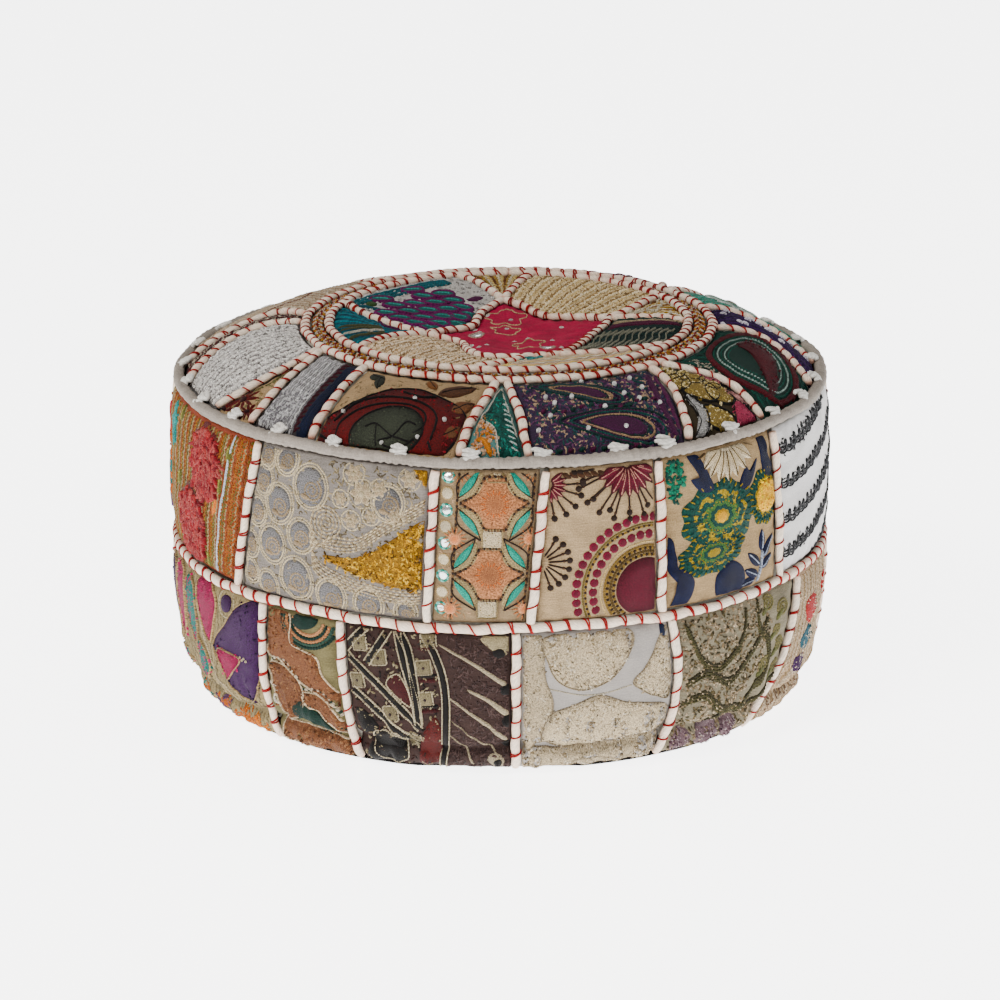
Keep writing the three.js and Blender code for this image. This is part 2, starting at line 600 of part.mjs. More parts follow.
addPart('liner_body', turned([
  [0, LINER_BOTTOM],
  ...lowHeights.map((z) => [linerRadius(z), z]),
  ...[...lowHeights].reverse().map((z) => [
    linerRadius(z) - LINER_CLOTH, Math.max(z, LINER_BOTTOM + LINER_CLOTH),
  ]),
  [0, LINER_BOTTOM + LINER_CLOTH],
], LINER_FACETS), 0xd9d2c4);

addPart('liner_top_panel', turned([
  ...[...seatStations].map((r) => [r, underSeat(r, 2 + LINER_CLOTH)]),
  ...[...seatStations].reverse().map((r) => [r, underSeat(r, 2)]),
], LINER_FACETS), 0xd9d2c4);

const coreBottom = LINER_BOTTOM + LINER_CLOTH + CORE_GAP;
const coreHeights = [coreBottom, 60, 150, 280];
addPart('wadding_core', turned([
  [0, coreBottom],
  ...coreHeights.map((z) => [linerRadius(z) - LINER_CLOTH - 2 * CORE_GAP, z]),
  ...[...seatStations].reverse().map((r) => [r, underSeat(r, 2 + LINER_CLOTH + 2 * CORE_GAP)]),
], LINER_FACETS), 0xe8e4da);

export default pouf;
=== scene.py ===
import math

import bmesh
import bpy
import numpy as np
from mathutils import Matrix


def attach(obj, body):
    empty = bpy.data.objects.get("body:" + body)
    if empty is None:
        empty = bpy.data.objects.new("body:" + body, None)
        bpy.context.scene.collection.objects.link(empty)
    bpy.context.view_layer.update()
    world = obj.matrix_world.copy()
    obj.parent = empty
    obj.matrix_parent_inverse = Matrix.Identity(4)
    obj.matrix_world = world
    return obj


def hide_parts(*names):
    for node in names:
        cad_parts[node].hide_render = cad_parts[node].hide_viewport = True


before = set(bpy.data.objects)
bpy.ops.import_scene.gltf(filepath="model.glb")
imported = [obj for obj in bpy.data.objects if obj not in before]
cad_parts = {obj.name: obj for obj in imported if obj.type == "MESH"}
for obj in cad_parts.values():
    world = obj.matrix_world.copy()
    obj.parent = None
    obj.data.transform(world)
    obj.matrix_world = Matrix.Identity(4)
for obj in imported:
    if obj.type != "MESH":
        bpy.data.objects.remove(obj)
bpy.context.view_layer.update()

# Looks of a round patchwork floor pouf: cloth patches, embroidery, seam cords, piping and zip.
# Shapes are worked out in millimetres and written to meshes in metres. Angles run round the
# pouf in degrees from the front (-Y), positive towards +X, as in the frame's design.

MM = 0.001
rng = np.random.default_rng(11)

# ---------------------------------------------------------------- driving sizes, in millimetres and degrees
# The profiles and seams are those of the frame. The piping is thinner than the frame's, which is 13 mm.
SEAT_PROFILE = ((0, 329), (50, 333), (100, 340), (150, 345), (187, 342), (235, 328), (275, 309), (296, 297))
SIDE_PROFILE = ((0, 266), (14, 276), (27, 281), (60, 293), (110, 300), (145, 300), (200, 302), (260, 301),
                (296, 298))
RING_OUTER, RING_INNER, RING_SHIFT = 187, 165, 8
SEAT_EDGE = 289
PIPING_RING, PIPING_HEIGHT, PIPING_RADIUS = 295, 296.6, 5.0
MID_SEAM = 145
ARC_RADIUS = 300             # side patches are laid out flat at this radius
CORD_WIDTH = 4.0             # half of a seam cord's width
TUCK_HEIGHT = 27             # the gathered crease above the floor
MARGIN = 2.5                 # bare cloth between a seam and the stitches

OUTER_SEAMS = {
    "wedge0": (-100, -92, -13), "s1": (-92, -80, -11), "a": (-64, -62.5, 2), "b": (-63, -50.5, 1),
    "c": (-43, -35.5, 0), "d": (-3, -7.2, -1), "e": (-1, 5.2, 1), "f": (42, 35.5, 1.5),
    "g": (45, 54.5, 6), "h": (86, 78, 9), "v": (107, 92, 10), "mint": (129, 134, 0),
    "m2": (131, 147, 2), "plum": (173, 168, 0), "pink": (214, 216, 0),
}
STAR_TIPS = ((-177, 93), (-78, 76), (-14, 108), (23, 110), (106, 96), (183, 93))
STAR_HOLLOWS = (42, 34, 0, 24, 32)
INNER_SEAMS = {
    "tealLow": (-77, -56), "sandCream": (8, -11), "creamDark": (24, 60), "goldLow": (105, 89),
    "goldHigh": (107, 121), "khaki": (182, 172), "peacock": (184, 197), "tealHigh": (281, 249),
}
UPPER_SEAMS = {
    "shaggy": (-92, -96, 0), "ab": (-46, -52, 0), "bc": (-11, -12.5, 0), "cd": (7.7, 5.2, 0),
    "de": (28, 28.7, 0), "ef": (55, 57.3, 0), "satin": (94, 93, 0), "back1": (137, 137, 0),
    "back2": (180, 182, 0), "back3": (226, 224, 0),
}
LOWER_SEAMS = {
    "magenta": (-91, -90, 0), "gh": (-45.1, -47.1, 0), "hi": (-28.4, -27.5, 0), "ij": (2.7, 2.9, 0),
    "jk": (30.7, 31.2, 1.5), "kl": (64.3, 54, 2), "lm": (88, 84, 0), "back1": (126, 126, 0),
    "back2": (168, 170, 0), "back3": (214, 213, 0),
}


# ---------------------------------------------------------------- the cover's shape
def follow(points, x):
    """Smooth curve through a profile's points, as a cubic between each pair."""
    xs, ys = np.array(points, float).T
    slopes = np.gradient(ys, xs)
    slopes[1:-1] = (ys[2:] - ys[:-2]) / (xs[2:] - xs[:-2])
    i = np.clip(np.searchsorted(xs, x, side="right") - 1, 0, len(xs) - 2)
    step = xs[i + 1] - xs[i]
    t = (np.asarray(x, float) - xs[i]) / step
    blend = t * t * (3 - 2 * t)
    rise = t * (1 - t) * step * (slopes[i] * (1 - t) - slopes[i + 1] * t)
    return ys[i] + (ys[i + 1] - ys[i]) * blend + rise


def ring_shift(radius):
    t = np.clip((radius - RING_OUTER) / (SEAT_EDGE - RING_OUTER), 0, 1)
    return RING_SHIFT * (1 - t * t * (3 - 2 * t))


def seat_xy(angle, radius):
    """Plan position of a seat point, from its angle and radius about the sewn ring."""
    turn = np.radians(angle)
    return np.stack([radius * np.sin(turn) + ring_shift(radius), -radius * np.cos(turn)], -1)


def on_seat(xy, lift=0.0):
    x, y = xy[..., 0], xy[..., 1]
    x = x - ring_shift(np.hypot(x, y))
    radius = np.maximum(np.hypot(x, y), 1e-6)
    slope = follow(SEAT_PROFILE, radius + 1) - follow(SEAT_PROFILE, radius)
    normal = np.stack([-slope * x / radius, -slope * y / radius, np.ones_like(x)], -1)
    normal /= np.linalg.norm(normal, axis=-1, keepdims=True)
    base = np.stack([xy[..., 0], xy[..., 1], follow(SEAT_PROFILE, radius)], -1)
    return base + normal * np.asarray(lift)[..., None]


def on_side(xy, lift=0.0):
    """Side point from its arc length round the pouf and its height."""
    turn, height = xy[..., 0] / ARC_RADIUS, xy[..., 1]
    radius = follow(SIDE_PROFILE, height)
    slope = follow(SIDE_PROFILE, height + 1) - radius
    normal = np.stack([np.sin(turn), -np.cos(turn), -slope], -1)
    normal /= np.linalg.norm(normal, axis=-1, keepdims=True)
    base = np.stack([radius * np.sin(turn), -radius * np.cos(turn), height], -1)
    return base + normal * np.asarray(lift)[..., None]


def waves(p, seed, scale):
    """Smooth random field over plane points, about -1 to 1, made of a few sine waves."""
    draw = np.random.default_rng(seed)
    total = np.zeros(p.shape[:-1])
    for octave in range(3):
        for _ in range(4):
            turn = draw.uniform(0, 2 * math.pi)
            wave = 2 * math.pi / (scale * draw.uniform(0.7, 1.4) / 2 ** octave)
            phase = draw.uniform(0, 2 * math.pi)
            total += np.sin(p[..., 0] * wave * math.cos(turn) + p[..., 1] * wave * math.sin(turn)
                            + phase) / 2 ** octave
    return total / 4


def seam_angle(seam, t):
    return seam[0] + (seam[1] - seam[0]) * t + seam[2] * np.sin(np.pi * t)


def star_radius(angle):
    angle = (np.asarray(angle, float) + 177) % 360 - 177
    tips = np.array(STAR_TIPS, float)
    i = np.clip(np.searchsorted(tips[:, 0], angle, side="right") - 1, 0, len(STAR_HOLLOWS) - 1)
    t = (angle - tips[i, 0]) / (tips[i + 1, 0] - tips[i, 0])
    hollow = np.array(STAR_HOLLOWS)[i]
    return tips[i, 1] * (1 - t) + tips[i + 1, 1] * t - hollow * np.sin(np.pi * t)


# ---------------------------------------------------------------- materials
def linear(hex_color):
    """A hex colour as linear red, green and blue, deepened as dyed thread is."""
    channels = np.array([int(hex_color[i:i + 2], 16) / 255 for i in (1, 3, 5)])
    light = np.where(channels < 0.04045, channels / 12.92, ((channels + 0.055) / 1.055) ** 2.4)
    chroma = (light.max() - light.min()) / light.max()
    rich = np.clip(light.mean() + (light - light.mean()) * (1 + 0.3 * chroma ** 2), 0.003, 1)
    return rich * (0.3 + 0.65 * rich.max())


def new_material(name):
    material = bpy.data.materials.new(name)
    material.use_nodes = True
    return material, material.node_tree.nodes, material.node_tree.links


def node(nodes, kind, **values):
    made = nodes.new(kind)
    for key, value in values.items():
        setattr(made, key, value)
    return made


def noise(tree, vector, scale, detail, roughness=0.5):
    """A noise texture over a vector socket."""
    made = tree.nodes.new("ShaderNodeTexNoise")
    made.inputs["Scale"].default_value = scale
    made.inputs["Detail"].default_value = detail
    made.inputs["Roughness"].default_value = roughness
    tree.links.new(vector, made.inputs["Vector"])
    return made.outputs[0]


def two_tone(tree, shader, factor, low, high):
    """Colours a shader from one (position, colour) to another, by a factor socket."""
    ramp = tree.nodes.new("ShaderNodeValToRGB")
    for stop, (position, color) in zip(ramp.color_ramp.elements, (low, high)):
        stop.position = position
        stop.color = (*color, 1)
    tree.links.new(factor, ramp.inputs[0])
    tree.links.new(ramp.outputs[0], shader.inputs["Base Color"])


def tinted(tree, shader, light):
    """Colours a shader from the mesh's tint, times a brightness socket."""
    tint = node(tree.nodes, "ShaderNodeAttribute", attribute_name="tint")
    mix = node(tree.nodes, "ShaderNodeMix", data_type="RGBA", blend_type="MULTIPLY")
    mix.inputs["Factor"].default_value = 1.0
    tree.links.new(tint.outputs["Color"], mix.inputs["A"])
    tree.links.new(light, mix.inputs["B"])
    tree.links.new(mix.outputs["Result"], shader.inputs["Base Color"])


def finish_material(tree, shader, height, distance, strength):
    """Adds a bump from a height socket to a principled shader."""
    bump = node(tree.nodes, "ShaderNodeBump")
    bump.inputs["Strength"].default_value = strength
    bump.inputs["Distance"].default_value = distance
    tree.links.new(height, bump.inputs["Height"])
    tree.links.new(bump.outputs["Normal"], shader.inputs["Normal"])


def math_node(tree, operation, a, b=None):
    made = tree.nodes.new("ShaderNodeMath")
    made.operation = operation
    for slot_index, value in enumerate((a, b)):
        if value is None:
            continue
        if isinstance(value, (int, float)):
            made.inputs[slot_index].default_value = value
        else:
            tree.links.new(value, made.inputs[slot_index])
    return made.outputs[0]


def cloth_material(name, color, shade=0.62, thread=1.3, sheen=0.03, roughness=0.88, weave=0.5, slub=0.5,
                   gloss=0.1):
    """Woven cloth: warp and weft, slubs, a little uneven dye and a soft sheen."""
    material, nodes, links = new_material(name)
    tree = material.node_tree
    shader = nodes["Principled BSDF"]
    chart = node(nodes, "ShaderNodeAttribute", attribute_name="chart")
    split = nodes.new("ShaderNodeSeparateXYZ")
    links.new(chart.outputs["Vector"], split.inputs[0])
    warp = math_node(tree, "SINE", math_node(tree, "MULTIPLY", split.outputs[0], 2 * math.pi / thread))
    weft = math_node(tree, "SINE", math_node(tree, "MULTIPLY", split.outputs[1], 2 * math.pi / thread))
    woven = math_node(tree, "MULTIPLY", warp, weft)
    stretched = nodes.new("ShaderNodeMapping")
    stretched.inputs["Scale"].default_value = (0.06, 0.9, 1)
    links.new(chart.outputs["Vector"], stretched.inputs["Vector"])
    slubs = noise(tree, stretched.outputs[0], 1.0, 4)
    dye = noise(tree, chart.outputs["Vector"], 0.05, 5)
    grit = noise(tree, chart.outputs["Vector"], 0.75, 3, 0.75)
    blend = math_node(tree, "ADD", math_node(tree, "MULTIPLY", dye, 0.5),
                      math_node(tree, "MULTIPLY", slubs, slub))
    blend = math_node(tree, "ADD", blend, math_node(tree, "MULTIPLY", grit, 1.1))
    blend = math_node(tree, "ADD", blend, -0.2 - 0.5 * slub)
    base = linear(color)
    two_tone(tree, shader, blend, (0.4, base * shade), (0.8, np.minimum(base * (2 - shade), 1)))
    shader.inputs["Roughness"].default_value = roughness
    shader.inputs["Specular IOR Level"].default_value = gloss
    shader.inputs["Sheen Weight"].default_value = sheen
    shader.inputs["Sheen Roughness"].default_value = 0.5
    shader.inputs["Sheen Tint"].default_value = (*base, 1)
    height = math_node(tree, "ADD", math_node(tree, "MULTIPLY", woven, weave),
                       math_node(tree, "MULTIPLY", slubs, 1.2))
    finish_material(tree, shader, height, 0.0006, 0.7)
    return material


def thread_material(name, roughness=0.7, sheen=0.02, pitch=1.5, metallic=0.0):
    """Embroidery yarn: colour from the mesh, twisted strands from its thread coordinates."""
    material, nodes, links = new_material(name)
    tree = material.node_tree
    shader = nodes["Principled BSDF"]
    thread = node(nodes, "ShaderNodeAttribute", attribute_name="thread")
    split = nodes.new("ShaderNodeSeparateXYZ")
    links.new(thread.outputs["Vector"], split.inputs[0])
    strands = math_node(tree, "SINE", math_node(tree, "MULTIPLY", split.outputs[1], 2 * math.pi / pitch))
    fuzz = noise(tree, thread.outputs["Vector"], 0.8, 4, 0.7)
    level = math_node(tree, "ADD", math_node(tree, "MULTIPLY", strands, 0.14),
                      math_node(tree, "MULTIPLY", fuzz, 4.8))
    tinted(tree, shader, math_node(tree, "MAXIMUM", math_node(tree, "ADD", level, -1.5), 0.18))
    shader.inputs["Roughness"].default_value = roughness
    shader.inputs["Metallic"].default_value = metallic
    shader.inputs["Specular IOR Level"].default_value = 0.1
    shader.inputs["Sheen Weight"].default_value = sheen
    finish_material(tree, shader, level, 0.0007, 0.8)
    return material


def cord_material():
    """Raw cotton cord: off-white and soft, coloured by its mesh tint, which turns pinker and darker where
    its stitches pinch it.
    """
    material, nodes, links = new_material("cotton_cord")
    tree = material.node_tree
    shader = nodes["Principled BSDF"]
    thread = node(nodes, "ShaderNodeAttribute", attribute_name="thread")
    strands = nodes.new("ShaderNodeMapping")
    strands.inputs["Scale"].default_value = (0.22, 1.1, 1)
    links.new(thread.outputs["Vector"], strands.inputs["Vector"])
    fuzz = noise(tree, strands.outputs[0], 1.0, 6, 0.65)
    tinted(tree, shader, math_node(tree, "ADD", math_node(tree, "MULTIPLY", fuzz, 2.4), -0.2))
    shader.inputs["Roughness"].default_value = 0.9
    shader.inputs["Specular IOR Level"].default_value = 0.15
    finish_material(tree, shader, fuzz, 0.0016, 0.9)
    return material


def shiny_material(name, color, roughness, metallic):
    """Sequins, mirrors and zip metal, a little tarnished."""
    material, nodes, links = new_material(name)
    tree = material.node_tree
    shader = nodes["Principled BSDF"]
    position = nodes.new("ShaderNodeTexCoord")
    mottling = noise(tree, position.outputs["Object"], 400, 4)
    base = linear(color)
    two_tone(tree, shader, mottling, (0.3, base * 0.7), (0.7, base))
    rough = math_node(tree, "ADD", math_node(tree, "MULTIPLY", mottling, 0.2), roughness - 0.1)
    links.new(rough, shader.inputs["Roughness"])
    shader.inputs["Metallic"].default_value = metallic
    finish_material(tree, shader, mottling, 0.0002, 0.4)
    return material


YARN = thread_material("embroidery_yarn")
SILK = thread_material("embroidery_silk", roughness=0.55, sheen=0.02, pitch=1.0)
METAL_THREAD = thread_material("metal_thread", roughness=0.38, sheen=0.0, pitch=1.0, metallic=0.55)
CORD = cord_material()
MIRROR = shiny_material("mirror_disc", "#e9eeec", 0.16, 0.9)
BRASS = shiny_material("aged_brass", "#8f7a4c", 0.38, 1.0)


# ---------------------------------------------------------------- mesh building
def make_object(name, points, faces, material, tint=None, thread=None, chart=None, smooth=True):
    """A mesh object from points in millimetres, riding on the pouf."""
    mesh = bpy.data.meshes.new(name)
    mesh.from_pydata((np.asarray(points) * MM).tolist(), [], [list(map(int, f)) for f in faces])
    for label, values in (("thread", thread), ("chart", chart)):
        if values is not None:
            attribute = mesh.attributes.new(label, "FLOAT_VECTOR", "POINT")
            attribute.data.foreach_set("vector", np.asarray(values, np.float32).ravel())
    if tint is not None:
        attribute = mesh.attributes.new("tint", "FLOAT_COLOR", "POINT")
        opaque = np.concatenate([tint, np.ones((len(tint), 1))], 1)
        attribute.data.foreach_set("color", opaque.astype(np.float32).ravel())
    mesh.polygons.foreach_set("use_smooth", [smooth] * len(mesh.polygons))
    mesh.materials.append(material)
    mesh.update()
    made = bpy.data.objects.new(name, mesh)
    bpy.context.scene.collection.objects.link(made)
    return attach(made, "pouf")


def grid_faces(rows, columns):
    index = np.arange(rows * columns).reshape(rows, columns)
    return np.stack([index[:-1, :-1], index[1:, :-1], index[1:, 1:], index[:-1, 1:]], -1).reshape(-1, 4)


def tube_faces(stations, sides):
    """Side faces and end caps of a tube whose rings follow each other in the point list."""
    ring = np.arange(sides)
    first = (np.arange(stations - 1) * sides)[:, None]
    a, b = first + ring, first + (ring + 1) % sides
    walls = np.stack([a, b, b + sides, a + sides], -1).reshape(-1, 4).tolist()
    last = (stations - 1) * sides
    return walls + [list(range(sides))[::-1], [last + i for i in range(sides)]]


def resample(path, step):
    """Points evenly spaced along a polyline, and their distances along it."""
    path = np.asarray(path, float)
    lengths = np.concatenate([[0], np.cumsum(np.linalg.norm(np.diff(path, axis=0), axis=1))])
    count = max(3, int(lengths[-1] / step) + 1)
    at = np.linspace(0, lengths[-1], count)
    return np.stack([np.interp(at, lengths, path[:, k]) for k in range(path.shape[1])], -1), at


def turned(p, angle):
    c, s = math.cos(math.radians(angle)), math.sin(math.radians(angle))
    p = np.asarray(p, float)
    return np.stack([p[..., 0] * c - p[..., 1] * s, p[..., 0] * s + p[..., 1] * c], -1)


# ---------------------------------------------------------------- cloth patches
def edge_field(points, outline):
    """Signed distance to a closed outline, positive inside, and the place along it of the nearest point."""
    x, y = points[..., 0], points[..., 1]
    nearest = np.full(x.shape, 1e9)
    place = np.zeros(x.shape)
    inside = np.zeros(x.shape, bool)
    run = 0.0
    for a, b in zip(outline, np.roll(outline, -1, 0)):
        d = b - a
        length = math.hypot(*d)
        if length < 1e-6:
            continue
        t = np.clip(((x - a[0]) * d[0] + (y - a[1]) * d[1]) / length ** 2, 0, 1)
        gap = np.hypot(x - a[0] - t * d[0], y - a[1] - t * d[1])
        closer = gap < nearest
        nearest = np.where(closer, gap, nearest)
        place = np.where(closer, run + t * length, place)
        if a[1] != b[1]:
            crosses = (a[1] > y) != (b[1] > y)
            inside ^= crosses & (x < a[0] + (y - a[1]) * d[0] / (b[1] - a[1]))
        run += length
    return np.where(inside, nearest, -nearest), place


class Patch:
    """A cut of cloth between seams. place(u, v) gives its flat chart in millimetres, with u and v in
    0 to 1; surface(chart, lift) puts chart points on the cover."""
    STEP = 1.5                   # of the grid that its distances are kept on
    CLOTH, SPACING = 1.3, 2.8    # its thickness, and the size of its faces

    def __init__(self, name, place, surface, crown=3.2, pucker=1.5, pitch=16, wrinkle=0.9, gather=False,
                 whole=False):
        self.name, self.at, self.surface, self.whole = name, place, surface, whole
        side = np.linspace(0, 1, 61)[:-1]
        if whole:
            self.outline = place(np.linspace(0, 1, 241)[:-1], np.ones(240))
        else:
            self.outline = np.concatenate([
                place(side, 0 * side), place(0 * side + 1, side),
                place(1 - side, 0 * side + 1), place(0 * side, 1 - side)])
        self.seed = sum(map(ord, name))
        low = self.outline.min(0) - 6
        high = self.outline.max(0) + 6
        columns, rows = np.ceil((high - low) / self.STEP).astype(int) + 1
        grid = np.stack(np.meshgrid(low[0] + np.arange(columns) * self.STEP,
                                    low[1] + np.arange(rows) * self.STEP), -1)
        self.low = low
        self.inside, along = edge_field(grid, self.outline)
        d = np.maximum(self.inside, 0)
        puckers = np.cos(2 * math.pi * along / pitch + 1.2 * waves(grid, self.seed + 1, 90))
        self.lift = (crown * (1 - np.exp(-d / 13)) - 2.2 * np.exp(-d / 3.5) - 2.2
                     + pucker * puckers * np.exp(-d / 10) * (1 - np.exp(-d / 3))
                     + wrinkle * waves(grid, self.seed + 2, 48) * (1 - np.exp(-d / 10)))
        if gather:
            self.lift += gathers(grid)
        self.slope = np.stack(np.gradient(self.inside, self.STEP), 0)[::-1]

    def sample(self, field, p):
        """A field's value at chart points, between its grid points."""
        rows, columns = field.shape
        x = np.clip((p[..., 0] - self.low[0]) / self.STEP, 0, columns - 1.001)
        y = np.clip((p[..., 1] - self.low[1]) / self.STEP, 0, rows - 1.001)
        i, j = x.astype(int), y.astype(int)
        fx, fy = x - i, y - j
        return ((field[j, i] * (1 - fx) + field[j, i + 1] * fx) * (1 - fy)
                + (field[j + 1, i] * (1 - fx) + field[j + 1, i + 1] * fx) * fy)

    def within(self, p):
        return self.sample(self.inside, p)

    def tucked(self, p, margin):
        """Chart points outside the patch's margin, brought back to it."""
        for _ in range(2):
            short = np.maximum(margin - self.within(p), 0)[..., None]
            slope = np.stack([self.sample(self.slope[0], p), self.sample(self.slope[1], p)], -1)
            p = p + short * slope / np.maximum(np.linalg.norm(slope, axis=-1, keepdims=True), 0.2)
        return p

    def place_on(self, p, height):
        return self.surface(p, self.sample(self.lift, p) + height)

    def cloth(self, material):
        """The patch as a closed sheet of cloth."""
        size = self.outline.max(0) - self.outline.min(0)
        spread = np.linalg.norm(self.at(np.array([0.0]), np.array([0.5]))
                                - self.at(np.array([1.0]), np.array([0.5])))
        columns = 181 if self.whole else max(8, int(spread / self.SPACING))
        rows = max(8, int(size.max() / self.SPACING / 2)) if self.whole else max(8, int(np.linalg.norm(
            self.at(np.array([0.5]), np.array([0.0])) - self.at(np.array([0.5]), np.array([1.0])))
                    / self.SPACING))
        v, u = np.meshgrid(np.linspace(0.004 if self.whole else 0, 1, rows), np.linspace(0, 1, columns),
                           indexing="ij")
        chart = self.at(u.ravel(), v.ravel())
        top = self.place_on(chart, 0.0)
        under = self.place_on(chart, -self.CLOTH)
        count = rows * columns
        faces = grid_faces(rows, columns)
        a, b, c = (top[faces[:, k]] for k in (0, 1, 2))
        outward = (np.cross(b - a, c - a) * (self.surface(chart[faces[:, 0]], np.ones(len(faces)))
                                             - self.surface(chart[faces[:, 0]],
                                                            np.zeros(len(faces))))).sum() > 0
        if not outward:
            faces = faces[:, ::-1]
        index = np.arange(count).reshape(rows, columns)
        rim = np.concatenate([index[0, :-1], index[:-1, -1], index[-1, :0:-1], index[:0:-1, 0]])
        following = np.roll(rim, -1)
        walls = np.stack([rim, rim + count, following + count, following], -1)
        if not outward:
            walls = walls[:, ::-1]
        everything = np.concatenate([faces, faces[:, ::-1] + count, walls[:, ::-1]])
        charts = np.concatenate([chart, chart])
        charts = np.concatenate([charts, np.zeros((len(charts), 1))], 1)
        made = make_object(self.name + "_cloth", np.concatenate([top, under]), everything, material,
                           chart=charts)
        weld(made)
        return made

    def flat_area(self):
        a, b = self.outline, np.roll(self.outline, -1, 0)
        return abs((a[:, 0] * b[:, 1] - a[:, 1] * b[:, 0]).sum()) / 2 * MM * MM


def weld(made):
    """Joins a mesh's doubled points and turns its faces outward."""
    work = bmesh.new()
    work.from_mesh(made.data)
    bmesh.ops.remove_doubles(work, verts=work.verts, dist=0.00002)
    bmesh.ops.recalc_face_normals(work, faces=work.faces)
    work.to_mesh(made.data)
    work.free()


def gathers(grid):
    """Folds of the side's lowest band, drawn into a tuck above the floor."""
    s, z = grid[..., 0], grid[..., 1]
    phase = 2 * math.pi * s / 27 + 2.4 * waves(np.stack([s, 0 * s], -1), 5, 160)
    folds = 0.55 * np.sin(phase) + 0.3 * np.sin(2.3 * phase + 1) + 0.25 * waves(grid, 6, 30)
    below = np.exp(-((z - 13) / 9) ** 2)
    above = np.exp(-((z - 44) / 17) ** 2)
    crease = -6.5 * np.exp(-((z - TUCK_HEIGHT - 2 * np.sin(phase / 5)) / 4.5) ** 2)
    return crease + below * (1.5 + 3.2 * folds) + above * (2.2 + 2.6 * folds)


def side_place(left, right, z0, z1):
    """Chart of a side patch: u runs between two upright seams and v from floor to seat."""
    def place(u, v):
        z = z0 + (z1 - z0) * np.asarray(v, float)
        top, bottom = (296, MID_SEAM) if z1 > MID_SEAM else (MID_SEAM, 0)
        t = (top - z) / (top - bottom)
        a = seam_angle(left, t)
        b = seam_angle(right, t)
        b = b + 360 * (right[0] < left[0])
        pull = math.degrees(4.0 / ARC_RADIUS)
        angle = a + pull + (b - a - 2 * pull) * u
        return np.stack([np.radians(angle) * ARC_RADIUS, z], -1)
    return place


def outer_place(left, right):
    """Chart of an outer seat patch: u runs between two seams and v from the sewn ring outward."""
    def place(u, v):
        radius = RING_OUTER + 3.8 + (SEAT_EDGE - RING_OUTER - 2.4) * np.asarray(v, float)
        t = np.clip((radius - RING_OUTER) / (SEAT_EDGE - RING_OUTER), 0, 1)
        a = seam_angle(left, t)
        b = seam_angle(right, t) + 360 * (right[0] < left[0])
        pull = np.degrees(4.0 / radius)
        return seat_xy(a + pull + (b - a - 2 * pull) * u, radius)
    return place


def inner_place(left, right, wrap):
    """Chart of a centre patch: u runs between two seams and v from the star out to the ring."""
    def place(u, v):
        v = 0.03 + 0.955 * np.asarray(v, float)
        low = left[0] + (right[0] + wrap - left[0]) * u
        high = left[1] + (right[1] + wrap - left[1]) * u
        angle = low + (high - low) * v
        start = star_radius(low)
        return seat_xy(angle, start + (RING_INNER - start) * v)
    return place


def star_place(u, v):
    angle = -177 + 360 * np.asarray(u, float)
    return seat_xy(angle, np.maximum(star_radius(angle) - 2.6, 4) * v)


